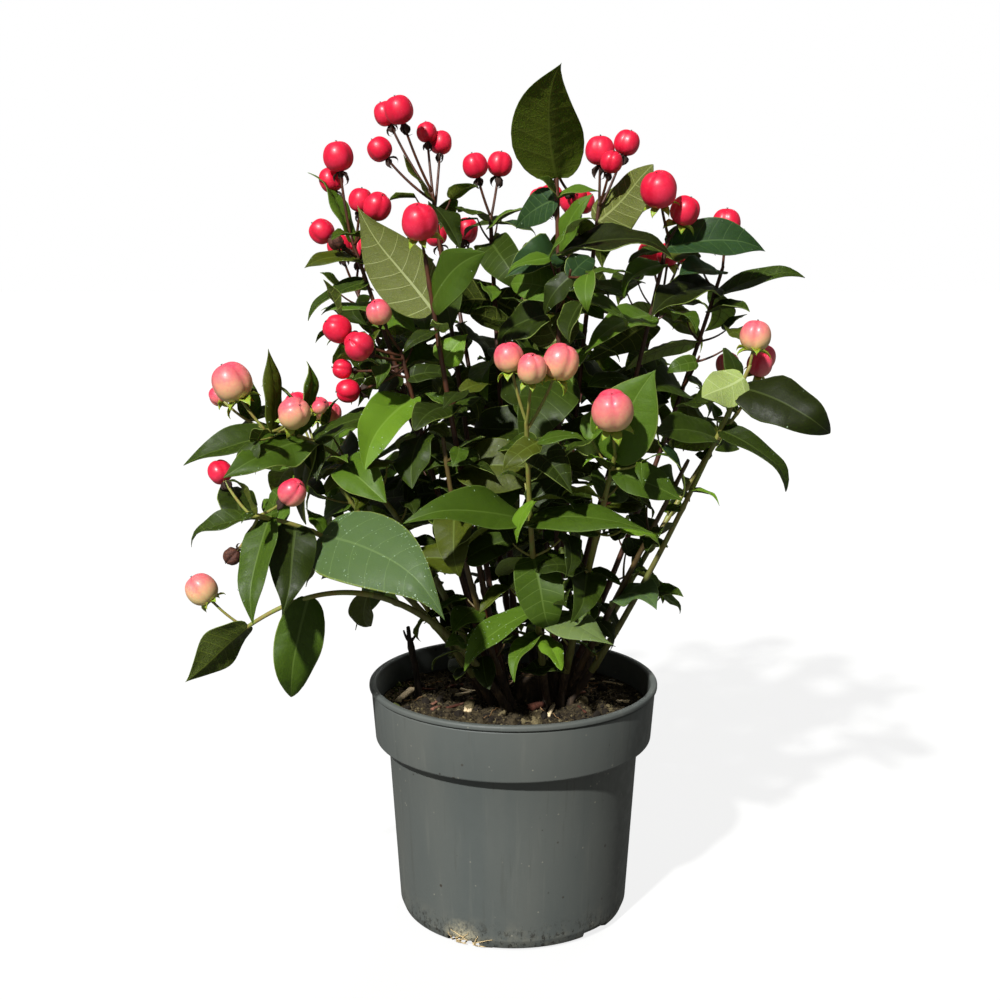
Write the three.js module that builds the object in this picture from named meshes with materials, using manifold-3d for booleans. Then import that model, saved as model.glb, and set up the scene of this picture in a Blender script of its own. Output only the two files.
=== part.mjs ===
// A berrying shrub in a nursery pot: many thin canes rise from peat in a round plastic pot.
// Each cane is one limb, and ends in a spray: a leafy stem with side twigs, leaf pairs and berries.
// Millimetres, +Z up. The origin is the middle of the pot's flat underside, on the ground.

import * as THREE from 'three';
import { mergeVertices } from 'three/addons/utils/BufferGeometryUtils.js';
import Module from 'manifold-3d';

const wasm = await Module();
wasm.setup();

// The pot: a tapering body with a wider band and a lip round its mouth, and drain notches below
const POT_HEIGHT = 124;
const RIM_RADIUS = 75;
const BAND_RADIUS = 72;
const BAND_FOOT = 94;
const BAND_INNER = 70.6;
const BODY_TOP_RADIUS = 65.4;
const BODY_FOOT_RADIUS = 60;
const BASE_RADIUS = 55;
const CORNER_HEIGHT = 6;
const WALL = 1.8;
const FLOOR = 2.4;
const LIP_HEIGHT = 3;
const GROOVE_DEPTH = 1.9;
const EDGE = 0.8;
const POT_SIDES = 32;
const DRAIN_COUNT = 5;
const DRAIN_WIDTH = 18;
const DRAIN_HEIGHT = 4;
const DRAIN_DEPTH = 13;
const FIRST_DRAIN_DEG = -44;

// The peat that fills it
const SOIL_TOP = 112;
const SOIL_FALL = 1.5;
const SOIL_FLAT = 38;
const GAP = 0.3;

// The woody foot in the middle and the dead stub beside it
const STOCK_PLACE = [8, 2];
const STOCK_RADIUS = 7;
const STOCK_FLARE = 10;
const STOCK_HEIGHT = 13;
const STOCK_SIDES = 10;
const STUB_FOOT = [-50, 4];
const STUB_TOP = [-54, 2, 151];
const STUB_RADII = [2.4, 1.8];

// Limbs, twigs and stalks: radius at the foot and at the tip
const CANE_RADII = [2.3, 1.6];
const STEM_RADII = [1.6, 1.1];
const TWIG_RADII = [1.0, 0.8];
const STALK_RADIUS = 0.75;
const STALK_START = 1;
const STALK_SPACING = 2.2;
const STALK_SAG = 0.12;
const CANE_SIDES = 4;
const CANE_STEPS = 5;
const STEM_SIDES = 3;
const STEM_STEPS = 5;
const TWIG_SIDES = 3;
const TWIG_STEPS = 2;
const STALK_STEPS = 1;

// Leaves
const LEAF_THICKNESS = 1.0;
const LEAF_WIDTH_SHARE = 0.56;
const LEAF_WIDEST = 0.4224;
const LEAF_BASE_POWER = 0.42;
const LEAF_STEPS = [[38, 2], [50, 3], [Infinity, 4]];
const LEAF_FOLD_DEG = 14;
const LEAF_CLEAR = 6;
const KIN_CLEAR = 4.5;
const LIMB_CLEAR = 5.8;
const FRUIT_CLEAR = 3;
const OWN_ROOT = 11;
const LEAF_TRIES = 6;
const OUTWARD = 1.5;
const FRONT_PULL = -30;
const LOWEST_LEAF = POT_HEIGHT + 5;

// How a leaf grows: the lowest lift off its stem and how much more there may be, then the same for
// its size and its arch, and how much steeper and shorter each new try is
const LIFT_DEG = [-26, 36];
const LIFT_STEP = 6;
const SIZE_SPREAD = [0.86, 0.28];
const SHRINK_STEP = 0.09;
const ARCH_SPREAD = [0.5, 0.8];
const LEAN = 0.5;
const PAIR_SIZE = [0.72, 0.28];
const PAIR_TURN_DEG = 24;
const GOLDEN_DEG = 137.5;
const TWIG_LENGTH = [26, 14];
const TWIG_LEAF_SHARE = 0.62;

// Berries
const CROP_SPREAD = [9, 13];
const CROP_RISE = [20, 28];
const CROP_SIZE = [12.5, 15];
const BERRY_SIDES = 6;
const BERRY_RINGS = 4;
const BERRY_STRETCH = 1.06;
const BERRY_SINK = 0.7;

// Each shoot: foot on the peat, the point that bends its curve, its head, and the share of its
// length where the leafy spray begins. Then leaf pairs, leaf length, the first pair's azimuth in
// degrees and the number of side twigs. Fruit is [x, y, z from the head, diameter]. A placed leaf
// is [share along the shoot, tip, width, the way its upper face looks, arch in degrees].
const SHOOTS = [
  {
    name: 'front', foot: [17.5, -10.6], bend: [8, -42, 190], head: [5, -80, 271], leafy: 0.25,
    pairs: 4, leaf: 44, turn: 22, twigs: 1,
    fruit: [[-8, -4, 29, 13.6], [2, -14, 25, 13.6], [15, -4, 27, 16.8]],
    leaves: [
      [0.37, [-25, -64, 152], 17, [-0.3, -0.6, 1], 25],
      [0.35, [43, -74, 161], 23, [0.3, -0.8, 0.8], 45],
      [0.27, [22, -56, 146], 12, [0.2, -0.7, 0.8], 30],
      [0.28, [-4, -58, 146], 11, [-0.2, -0.4, 1], 25],
      [0.68, [-50, -92, 232], 25, [0.1, -0.6, 1], 30],
      [0.69, [63, -93, 223], 23, [-0.1, -0.5, 1], 38],
    ],
  },
  {
    name: 'tall', foot: [20.5, -2.2], bend: [24, -22, 250], head: [20, -20, 383], leafy: 0.34,
    pairs: 6, leaf: 48, turn: 75, twigs: 2,
    fruit: [[11, 30, -12, 11], [-7, 22, -13, 11]],
    leaves: [
      [0.985, [18, -66, 429], 35, [0.03, 0.75, 0.66], 25],
      [0.855, [77, -30, 348], 24, [0.1, -0.5, 1], 35],
      [0.86, [35, -30, 373], 13, [-0.6, -0.5, 0.1], 25],
      [0.69, [4, -2, 334], 26, [0.25, 0.9, -0.35], 20],
      [0.68, [27, -8, 319], 14, [0.3, 0.8, -0.45], 15],
    ],
  },
  {
    name: 'middle_rear', foot: [3.3, 14.3], bend: [-6, 42, 240], head: [-12, 50, 362], leafy: 0.34,
    pairs: 5, leaf: 48, turn: 88, twigs: 2,
    fruit: [[-8, -4, 25, 13.4], [5, 4, 26, 13.4]],
    leaves: [
      [0.985, [-30, 28, 365], 19, [-0.2, -0.6, 1], 35],
      [0.975, [11, 30, 366], 18, [0.3, -0.7, 1], 30],
    ],
  },
  {
    name: 'upper_left', foot: [-3.5, 10], bend: [-24, 30, 240], head: [-42, 40, 374], leafy: 0.36,
    pairs: 5, leaf: 48, turn: 0, twigs: 2,
    fruit: [
      [-16, -10, 40, 14.8], [-24, 5, 39, 12.8], [-27, 0, 21, 12.8], [-3, 10, 30, 10.8],
      [4, 15, 25, 12.5],
    ],
    leaves: [
      [0.98, [-57, 30, 391], 12, [-0.5, -0.4, 1], 10],
      [0.97, [-28, 14, 346], 18, [0.6, -0.8, 0.4], 25],
    ],
  },
  {
    name: 'left_high', foot: [-7.7, 4.4], bend: [-42, 0, 240], head: [-81, 0, 352], leafy: 0.36,
    pairs: 5, leaf: 44, turn: 10, twigs: 2,
    fruit: [
      [-5, 0, 38, 15], [-10, 10, 27, 12.5], [15, -15, 14, 13.8], [6, -4, 17, 12],
      [-14, 0, 2, 12.5], [-6, -9, -3, 8],
    ],
    leaves: [
      [0.95, [-102, -16, 337], 15, [-0.3, -0.6, 0.8], 35],
      [0.9, [-104, -14, 315], 13, [-0.2, -0.5, 0.9], 25],
      [0.84, [-95, -12, 317], 12, [-0.2, -0.6, 0.9], 30],
      [0.985, [-98, 8, 385], 13, [0.8, -0.5, 0.2], 20],
    ],
  },
  {
    name: 'left_inner', foot: [-2.8, -6.3], bend: [-26, -34, 230], head: [-42, -40, 343], leafy: 0.32,
    pairs: 5, leaf: 48, turn: 70, twigs: 1,
    fruit: [[-2, -10, 16, 17.2]],
    leaves: [
      [0.885, [-79, -18, 363], 30, [0.15, 0.95, -0.3], 18],
      [0.905, [-14, -62, 347], 26, [0.2, -0.8, 0.6], 30],
      [0.78, [-23, -34, 307], 16, [0, -0.85, 0.45], 30],
    ],
  },
  {
    name: 'left_middle', foot: [-7.4, -3.1], bend: [-34, -18, 205], head: [-55, -25, 298], leafy: 0.34,
    pairs: 4, leaf: 46, turn: 66, twigs: 1,
    fruit: [
      [-9, -15, 19, 12.3], [-29, -15, 11, 13.6], [-18, -25, 4, 14], [-28, -5, -9, 9.8],
      [-25, -10, -19, 11.7],
    ],
    leaves: [
      [0.87, [-73, -66, 248], 23, [-0.2, -1, 0.4], 30],
    ],
  },
  {
    name: 'far_left', foot: [-12, -6.4], bend: [-60, -30, 258], head: [-118, -50, 262], leafy: 0.45,
    pairs: 4, leaf: 42, turn: 22, twigs: 1,
    fruit: [[-15, 0, 23, 19.2], [-25, 20, 14, 9.8], [17, -20, 11, 15.1], [27, -6, 12, 7]],
    leaves: [
      [0.92, [-156, -60, 247], 19, [-0.1, -0.5, 1], 30],
      [0.83, [-128, -84, 246], 26, [-0.1, -0.8, 0.7], 25],
      [0.96, [-117, -46, 300], 15, [0.9, -0.4, 0.2], 25],
      [0.87, [-94, -44, 294], 14, [0.8, -0.5, 0.3], 25],
    ],
  },
  {
    name: 'low_left', foot: [-9.5, -11.4], bend: [-64, -54, 216], head: [-121, -80, 227], leafy: 0.5,
    pairs: 3, leaf: 40, turn: 30, twigs: 0,
    fruit: [[-17, 20, 17, 11.6], [21, -10, 13, 12.8], [-9, 0, -19, 8.2]],
    leaves: [
      [0.735, [-29, -112, 194], 40, [0, -0.9, 0.6], 28],
      [0.97, [-153, -80, 216], 13, [-0.1, -0.4, 1], 35],
      [0.93, [-121, -104, 183], 18, [-0.4, -0.9, 0.1], 20],
      [0.83, [-102, -97, 184], 23, [0.2, -0.9, 0.3], 20],
    ],
  },
  {
    name: 'drooping', foot: [-2.5, -18.3], bend: [-56, -70, 222], head: [-130, -54, 166], leafy: 0.55,
    pairs: 0, leaf: 38, turn: 50, twigs: 0,
    fruit: [[-20, 0, 20, 15.6]],
    leaves: [
      [0.985, [-156, -64, 141], 24, [-0.54, 0.75, 0.32], 30],
      [0.78, [-109, -62, 132], 24, [0.1, -0.95, 0.2], 20],
      [0.57, [-73, -34, 160], 13, [-0.2, -1, 0.2], 15],
    ],
  },
  {
    name: 'right_front', foot: [23.9, -7.9], bend: [38, -34, 200], head: [46, -72, 254], leafy: 0.4,
    pairs: 4, leaf: 44, turn: 75, twigs: 1,
    fruit: [[-3, -18, 23, 19]],
    leaves: [
      [0.97, [62, -74, 294], 32, [-0.35, -1, 0.15], 20],
      [0.93, [33, -88, 256], 9, [-0.3, -0.5, 1], 30],
    ],
  },
  {
    name: 'right', foot: [29, -5.7], bend: [64, -26, 170], head: [112, -40, 292], leafy: 0.55,
    pairs: 2, leaf: 42, turn: 11, twigs: 0,
    fruit: [[2, 0, 14, 14.9]],
    leaves: [
      [0.975, [87, -55, 280], 21, [-0.2, 0.75, -0.6], 20],
      [0.955, [147, -60, 260], 28, [0.3, -0.9, 0.5], 40],
      [0.865, [131, -62, 239], 14, [0.2, -0.7, 0.8], 40],
      [0.845, [64, -62, 264], 21, [-0.2, -0.8, 0.7], 35],
      [0.93, [80, -18, 268], 16, [-0.3, -0.5, 1], 30],
      [0.725, [98, -50, 230], 7, [0.2, -0.4, 1], 20],
    ],
  },
  {
    name: 'right_high', foot: [23.3, 4.2], bend: [50, -4, 230], head: [76, -5, 352], leafy: 0.36,
    pairs: 5, leaf: 48, turn: 30, twigs: 2,
    fruit: [[-7, -15, 22, 18], [7, -5, 12, 14.6]],
    leaves: [
      [0.975, [126, 0, 346], 25, [0.1, -0.8, 0.7], 30],
      [0.84, [30, -54, 300], 21, [-0.1, -0.7, 0.9], 35],
    ],
  },
  {
    name: 'right_rear', foot: [26.1, 9], bend: [72, 14, 220], head: [107, 22, 336], leafy: 0.4,
    pairs: 5, leaf: 48, turn: 65, twigs: 2,
    fruit: [[1, 0, 22, 14.6]],
    leaves: [
      [0.93, [149, 18, 335], 16, [0.1, -0.4, 1], 30],
      [0.955, [64, -24, 317], 25, [-0.3, -0.8, 0.7], 30],
      [0.985, [80, -10, 335], 17, [-0.2, -0.8, 0.8], 30],
      [0.9, [118, 0, 316], 14, [0.3, -0.7, 0.8], 30],
    ],
  },
  {
    name: 'upper_right', foot: [19.5, 10.8], bend: [30, 28, 240], head: [44, 30, 369], leafy: 0.34,
    pairs: 5, leaf: 48, turn: 50, twigs: 2,
    fruit: [[0, 0, 25, 15.2], [5, -12, 19, 11.3], [14, 5, 29, 13.3]],
    leaves: [
      [0.955, [68, 20, 388], 27, [0.5, 0.75, -0.3], 20],
    ],
  },
  {
    name: 'inner_left', foot: [-0.2, -12.5], bend: [-26, -40, 185], head: [-34, -46, 258], leafy: 0.28,
    pairs: 4, leaf: 44, turn: 77, twigs: 2, fruit: [],
    leaves: [
      [0.34, [-21, -48, 148], 9, [-0.4, -0.6, 0.8], 20],
    ],
  },
  {
    name: 'inner_right', foot: [25.9, -0.7], bend: [48, -28, 168], head: [84, -38, 246], leafy: 0.45,
    pairs: 3, leaf: 40, turn: 45, twigs: 1, fruit: [],
    leaves: [
      [0.5, [68, -62, 182], 22, [0.2, -0.9, 0.5], 30],
    ],
  },
  {
    name: 'left_skirt', foot: [-14.9, 0.8], bend: [-50, -14, 178], head: [-84, -38, 232], leafy: 0.36,
    pairs: 4, leaf: 44, turn: 88, twigs: 1, fruit: [], leaves: [],
  },
  {
    name: 'rear_left_low', foot: [-9.4, 11.4], bend: [-66, 36, 220], head: [-110, 62, 234],
    leafy: 0.4, pairs: 5, leaf: 48, turn: 20, twigs: 2, crop: 3, leaves: [],
  },
  {
    name: 'rear_left', foot: [-4.4, 16.4], bend: [-44, 62, 230], head: [-88, 92, 322],
    leafy: 0.36, pairs: 5, leaf: 48, turn: 77, twigs: 2, crop: 3, leaves: [],
  },
  {
    name: 'rear_middle', foot: [3.8, 20.1], bend: [-16, 76, 230], head: [-34, 116, 330],
    leafy: 0.36, pairs: 5, leaf: 48, turn: 45, twigs: 2, crop: 3, leaves: [],
  },
  {
    name: 'rear_right', foot: [13.8, 18.9], bend: [20, 74, 240], head: [30, 108, 346],
    leafy: 0.36, pairs: 5, leaf: 48, turn: 10, twigs: 2, crop: 4, leaves: [],
  },
  {
    name: 'rear_far_right', foot: [21.8, 16], bend: [52, 60, 230], head: [84, 86, 318],
    leafy: 0.4, pairs: 5, leaf: 48, turn: 0, twigs: 2, crop: 3, leaves: [],
  },
  {
    name: 'right_low', foot: [29.9, 3.3], bend: [76, 30, 200], head: [126, 56, 262],
    leafy: 0.5, pairs: 5, leaf: 46, turn: 22, twigs: 2, crop: 3, leaves: [],
  },
  {
    name: 'rear_skirt', foot: [10.4, 23.3], bend: [14, 86, 190], head: [26, 132, 232],
    leafy: 0.4, pairs: 4, leaf: 46, turn: 0, twigs: 2, crop: 2, leaves: [],
  },
];

// Seeded random numbers in 0 to 1, the same on every run
function seeded(seed) {
  let state = seed >>> 0;
  return () => {
    state = (Math.imul(state, 1664525) + 1013904223) >>> 0;
    return state / 4294967296;
  };
}

const vector = (list) => new THREE.Vector3(...list);
const degrees = THREE.MathUtils.degToRad;
const mix = THREE.MathUtils.lerp;

// The peat's surface falls a little from its flat middle to the wall
function soilLevel(radius) {
  return SOIL_TOP - SOIL_FALL * Math.max(radius - SOIL_FLAT, 0) / (BAND_INNER - SOIL_FLAT);
}

// A closed geometry with shared vertices, each one moved by place(vertex)
function shaped(geometry, place) {
  geometry.deleteAttribute('uv');
  geometry.deleteAttribute('normal');
  const merged = mergeVertices(geometry, 1e-5);
  const position = merged.getAttribute('position');
  const vertex = new THREE.Vector3();
  for (let i = 0; i < position.count; i += 1) {
    const moved = place(vertex.fromBufferAttribute(position, i));
    position.setXYZ(i, moved.x, moved.y, moved.z);
  }
  return merged;
}

function toSolid(geometry) {
  const vertProperties = new Float32Array(geometry.getAttribute('position').array);
  const triVerts = new Uint32Array(geometry.index.array);
  return new wasm.Manifold(new wasm.Mesh({ numProp: 3, vertProperties, triVerts }));
}

function toGeometry(solid) {
  const mesh = solid.getMesh();
  const geometry = new THREE.BufferGeometry();
  geometry.setAttribute('position', new THREE.BufferAttribute(mesh.vertProperties, 3));
  geometry.setIndex(new THREE.BufferAttribute(mesh.triVerts, 1));
  geometry.computeVertexNormals();
  return geometry;
}

// The world axis that a curve runs least along, which keeps its sections from twisting
function steadyAxis(direction) {
  const size = [Math.abs(direction.x), Math.abs(direction.y), Math.abs(direction.z)];
  const least = size.indexOf(Math.min(...size));
  return new THREE.Vector3(least === 0 ? 1 : 0, least === 1 ? 1 : 0, least === 2 ? 1 : 0);
}

// A tapering limb along part of a curve, from share `from` to share `to`. A level foot is cut flat.
function limb(curve, from, to, [footRadius, tipRadius], sides, steps, levelFoot = false) {
  const axis = steadyAxis(curve.getPoint(1).sub(curve.getPoint(0)).normalize());
  return shaped(new THREE.CylinderGeometry(1, 1, 1, sides, steps), (vertex) => {
    const along = vertex.y + 0.5;
    const share = mix(from, to, along);
    const level = levelFoot && along < 1e-6;
    const tangent = level ? new THREE.Vector3(0, 0, 1) : curve.getTangent(share);
    const first = axis.clone().addScaledVector(tangent, -axis.dot(tangent)).normalize();
    const second = first.clone().cross(tangent);
    const radius = mix(footRadius, tipRadius, along);
    return curve.getPoint(share)
      .addScaledVector(first, vertex.x * radius)
      .addScaledVector(second, vertex.z * radius);
  });
}

// The point at a share of a curve, on the straight facets that its limb is made of
function onLimb(curve, from, to, steps, share) {
  const slot = THREE.MathUtils.clamp((share - from) / (to - from) * steps, 0, steps);
  const below = Math.min(Math.floor(slot), steps - 1);
  const start = curve.getPoint(mix(from, to, below / steps));
  return start.lerp(curve.getPoint(mix(from, to, (below + 1) / steps)), slot - below);
}

// Half the leaf's width at a share of its length: a round base, widest at a third, a drawn-out tip
const leafHalf = (share) => (share ** LEAF_BASE_POWER) * (1 - share) / LEAF_WIDEST / 2;

// A leaf springs from `root` along `heading`, its upper face looking along `face`, and arches over
function leafFromHeading(root, heading, face, length, width, arch) {
  return { root, heading, face, length, width, arch: Math.max(arch, 0.05) };
}

// The same leaf given by the places of its root and tip
function leafToTip(root, tip, width, look, archDegrees) {
  const chord = tip.clone().sub(root);
  const reach = chord.length();
  chord.normalize();
  const face = look.clone().addScaledVector(chord, -look.dot(chord)).normalize();
  const half = degrees(archDegrees) / 2;
  const heading = chord.clone().multiplyScalar(Math.cos(half)).addScaledVector(face, Math.sin(half));
  const upper = face.clone().multiplyScalar(Math.cos(half)).addScaledVector(chord, -Math.sin(half));
  return leafFromHeading(root, heading, upper, reach * half / Math.sin(half), width, 2 * half);
}

// A point of the leaf's midrib with the directions along it, out of its face and to its side
function midrib(leaf, share) {
  const turned = leaf.arch * share;
  const radius = leaf.length / leaf.arch;
  const point = leaf.root.clone()
    .addScaledVector(leaf.heading, radius * Math.sin(turned))
    .addScaledVector(leaf.face, -radius * (1 - Math.cos(turned)));
  const along = leaf.heading.clone().multiplyScalar(Math.cos(turned))
    .addScaledVector(leaf.face, -Math.sin(turned));
  const out = leaf.face.clone().multiplyScalar(Math.cos(turned))
    .addScaledVector(leaf.heading, Math.sin(turned));
  return { point, along, out, side: out.clone().cross(along) };
}

// A point of the blade: `across` is -1 at one edge, 0 on the midrib and 1 at the other edge
function bladePoint(leaf, share, across) {
  const { point, out, side } = midrib(leaf, share);
  const half = leaf.width * leafHalf(share);
  const fold = degrees(LEAF_FOLD_DEG);
  return point
    .addScaledVector(side, across * half * Math.cos(fold))
    .addScaledVector(out, Math.abs(across) * half * Math.sin(fold));
}

function leafSolid(leaf) {
  const [, steps] = LEAF_STEPS.find(([longest]) => leaf.length < longest);
  return toSolid(shaped(new THREE.SphereGeometry(1, 4, steps), (vertex) => {
    const sweep = Math.acos(THREE.MathUtils.clamp(vertex.y, -1, 1)) / Math.PI;
    const share = sweep * (0.35 + 0.65 * sweep);
    const ring = Math.max(Math.hypot(vertex.x, vertex.z), 1e-6);
    const across = Math.round(vertex.x / ring);
    const layer = sweep > 0.01 && sweep < 0.99 ? Math.round(vertex.z / ring) : 0;
    const point = bladePoint(leaf, share, across);
    return point.addScaledVector(midrib(leaf, share).out, layer * LEAF_THICKNESS / 2);
  }));
}

// The places where a leaf is compared with its neighbours
const LEAF_SHARES = [0.15, 0.36, 0.57, 0.78, 0.98];
const LEAF_ACROSS = [-0.8, -0.27, 0.27, 0.8];

function leafSamples(leaf) {
  const samples = [];
  for (const share of LEAF_SHARES) {
    for (const across of LEAF_ACROSS) samples.push(bladePoint(leaf, share, across));
  }
  return samples;
}

// What already stands in the crown: points on limbs and leaves, and whole berries
const taken = { limbs: [], leaves: [], berries: [] };

function roomForLeaf(leaf, owner) {
  for (const sample of leafSamples(leaf)) {
    if (sample.z < LOWEST_LEAF) return false;
    for (const other of taken.leaves) {
      const clear = other.owner === owner ? KIN_CLEAR : LEAF_CLEAR;
      if (sample.distanceTo(other.point) < clear) return false;
    }
    for (const point of taken.limbs) {
      if (sample.distanceTo(point) < LIMB_CLEAR && point.distanceTo(leaf.root) > OWN_ROOT) return false;
    }
    for (const berry of taken.berries) {
      if (sample.distanceTo(berry.centre) < berry.radius + FRUIT_CLEAR) return false;
    }
  }
  return true;
}

function keepLeaf(shoot, leaf) {
  shoot.leafList.push(leaf);
  for (const point of leafSamples(leaf)) taken.leaves.push({ point, owner: shoot.name });
}

// Points a few millimetres apart along a curve, for the clearance tests
function keepLimb(curve, from, to, spacing = 3) {
  const count = Math.ceil(curve.getLength() * (to - from) / spacing);
  for (let i = 0; i <= count; i += 1) taken.limbs.push(curve.getPoint(mix(from, to, i / count)));
}

// The direction that points away from a stem at an azimuth round it, from world +X where it can
function awayFromStem(tangent, azimuth) {
  const flat = new THREE.Vector3(Math.cos(azimuth), Math.sin(azimuth), 0);
  return flat.addScaledVector(tangent, -flat.dot(tangent)).normalize();
}

// Tries a few leaves at one node of a stem, each shorter and steeper, and keeps the first that fits
function growLeaf(shoot, root, tangent, azimuth, length, random) {
  for (let attempt = 0; attempt < LEAF_TRIES; attempt += 1) {
    const lift = degrees(LIFT_DEG[0] + LIFT_DEG[1] * random() + LIFT_STEP * attempt);
    const spread = SIZE_SPREAD[0] + SIZE_SPREAD[1] * random();
    const size = length * spread * (1 - SHRINK_STEP * attempt);
    const arch = ARCH_SPREAD[0] + ARCH_SPREAD[1] * random();
    const lean = LEAN * (random() - 0.5);
    const away = awayFromStem(tangent, azimuth + lean);
    const heading = away.clone().multiplyScalar(Math.cos(lift)).addScaledVector(tangent, Math.sin(lift));
    const look = new THREE.Vector3(root.x, root.y + FRONT_PULL, 0).normalize()
      .multiplyScalar(OUTWARD * (0.4 + random()))
      .addScaledVector(tangent, 0.3)
      .add(new THREE.Vector3(0.6 * (random() - 0.5), 0.6 * (random() - 0.5), 1));
    const face = look.addScaledVector(heading, -look.dot(heading)).normalize();
    const leaf = leafFromHeading(root, heading, face, size, size * LEAF_WIDTH_SHARE, arch);
    if (roomForLeaf(leaf, shoot.name)) {
      keepLeaf(shoot, leaf);
      return;
    }
  }
}

// Leaf pairs stand crosswise up a stem, largest in the middle
function growPairs(shoot, stem, pairs, length, turn, random) {
  for (let pair = 0; pair < pairs; pair += 1) {
    const along = (pair + 0.5) / pairs;
    const share = mix(stem.leafyFrom, stem.leafyTo, along ** 0.9);
    const fuller = Math.sin(Math.PI * Math.min(along + 0.12, 1));
    const size = length * (PAIR_SIZE[0] + PAIR_SIZE[1] * fuller);
    const root = onLimb(stem.curve, stem.from, 1, stem.steps, share);
    const tangent = stem.curve.getTangent(share);
    for (const half of [0, 1]) {
      const azimuth = degrees(turn + 90 * pair + 180 * half + PAIR_TURN_DEG * (random() - 0.5));
      growLeaf(shoot, root, tangent, azimuth, size, random);
    }
  }
}

function growTwig(shoot, index, random) {
  const share = mix(shoot.leafy, 1, 0.3 + 0.45 * (index + 0.5 * random()) / shoot.twigs);
  const root = onLimb(shoot.curve, shoot.sprayFrom, 1, STEM_STEPS, share);
  const tangent = shoot.curve.getTangent(share);
  const azimuth = degrees(shoot.turn + 45 + GOLDEN_DEG * index + 40 * random());
  const away = awayFromStem(tangent, azimuth);
  const length = TWIG_LENGTH[0] + TWIG_LENGTH[1] * random();
  const tip = root.clone().addScaledVector(away, length * 0.72).addScaledVector(tangent, length * 0.55);
  const knee = root.clone().addScaledVector(away, length * 0.45).addScaledVector(tangent, length * 0.15);
  const curve = new THREE.QuadraticBezierCurve3(root, knee, tip);
  for (let i = 2; i <= 6; i += 1) {
    const point = curve.getPoint(i / 6);
    const near = (other) => point.distanceTo(other) < LIMB_CLEAR && other.distanceTo(root) > OWN_ROOT;
    if (point.z < LOWEST_LEAF || taken.limbs.some(near)) return;
    if (taken.leaves.some((other) => point.distanceTo(other.point) < LEAF_CLEAR)) return;
    const inFruit = (berry) => point.distanceTo(berry.centre) < berry.radius + FRUIT_CLEAR;
    if (taken.berries.some(inFruit)) return;
  }
  shoot.twigList.push(curve);
  keepLimb(curve, 0, 1);
  const stem = { curve, from: 0, leafyFrom: 0.3, leafyTo: 1.05, steps: TWIG_STEPS };
  growPairs(shoot, stem, 2, shoot.leaf * TWIG_LEAF_SHARE, shoot.turn + 60 * index, random);
}

// Berries stand over the head, each on a stalk of its own
function berryPlaces(shoot, random) {
  if (shoot.fruit) return shoot.fruit.map(([x, y, z, size]) => ({ offset: vector([x, y, z]), size }));
  const places = [];
  for (let i = 0; i < shoot.crop; i += 1) {
    const azimuth = degrees(shoot.turn + GOLDEN_DEG * i);
    const spread = mix(...CROP_SPREAD, random());
    const rise = mix(...CROP_RISE, random());
    const offset = new THREE.Vector3(spread * Math.cos(azimuth), spread * Math.sin(azimuth), rise);
    places.push({ offset, size: mix(...CROP_SIZE, random()) });
  }
  return places;
}

// The stalks leave the stem one below another, close under its head
function growFruit(shoot, random) {
  const head = shoot.curve.getPoint(1);
  berryPlaces(shoot, random).forEach(({ offset, size }, index) => {
    const share = 1 - (STALK_START + STALK_SPACING * index) / shoot.curve.getLength();
    const foot = onLimb(shoot.curve, shoot.sprayFrom, 1, STEM_STEPS, share);
    const centre = head.clone().add(offset);
    const radius = size / 2;
    const knee = foot.clone().lerp(centre, 0.5);
    knee.z -= STALK_SAG * offset.length();
    const axis = centre.clone().sub(knee).normalize();
    const end = centre.clone().addScaledVector(axis, -radius * BERRY_SINK);
    const stalk = new THREE.QuadraticBezierCurve3(foot, knee, end);
    shoot.fruitList.push({ centre, radius, axis, stalk });
    taken.berries.push({ centre, radius });
    keepLimb(stalk, 0, 1);
  });
}

function berrySolid({ centre, radius, axis }) {
  const upright = new THREE.Quaternion().setFromUnitVectors(new THREE.Vector3(0, 1, 0), axis);
  return toSolid(shaped(new THREE.SphereGeometry(radius, BERRY_SIDES, BERRY_RINGS), (vertex) => {
    vertex.y *= BERRY_STRETCH;
    return vertex.applyQuaternion(upright).add(centre);
  }));
}

// A spray's stem, twigs, stalks, berries and leaves as one body
function spraySolid(shoot) {
  const parts = [toSolid(limb(shoot.curve, shoot.sprayFrom, 1, STEM_RADII, STEM_SIDES, STEM_STEPS))];
  for (const twig of shoot.twigList) {
    parts.push(toSolid(limb(twig, 0, 1, TWIG_RADII, TWIG_SIDES, TWIG_STEPS)));
  }
  for (const berry of shoot.fruitList) {
    const radii = [STALK_RADIUS, STALK_RADIUS];
    parts.push(toSolid(limb(berry.stalk, 0, 1, radii, TWIG_SIDES, STALK_STEPS)));
    parts.push(berrySolid(berry));
  }
  for (const leaf of shoot.leafList) parts.push(leafSolid(leaf));
  return parts.reduce((whole, part) => whole.add(part));
}

function mesh(name, geometry, material) {
  const node = new THREE.Mesh(geometry, material);
  node.name = name;
  return node;
}

const material = (color, roughness) => new THREE.MeshStandardMaterial({ color, roughness, metalness: 0 });
const potPlastic = material(0x666a67, 0.55);
const peat = material(0x2a1f16, 0.95);
const bark = material(0x5a3a28, 0.8);
const deadWood = material(0x2c241e, 0.9);
const caneSkin = material(0x6e3a2c, 0.6);
const foliage = material(0x3f6b2f, 0.5);

// The outer radius of the pot's tapering body at a height
function bodyRadius(z) {
  return mix(BODY_FOOT_RADIUS, BODY_TOP_RADIUS, (z - CORNER_HEIGHT) / (BAND_FOOT - CORNER_HEIGHT));
}

// An outline of [radius, height] turned about the upright axis
function turned(outline, sides) {
  const points = outline.map(([radius, height]) => new THREE.Vector2(radius, height));
  return shaped(new THREE.LatheGeometry(points, sides), ({ x, y, z }) => vector([x, -z, y]));
}

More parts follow.
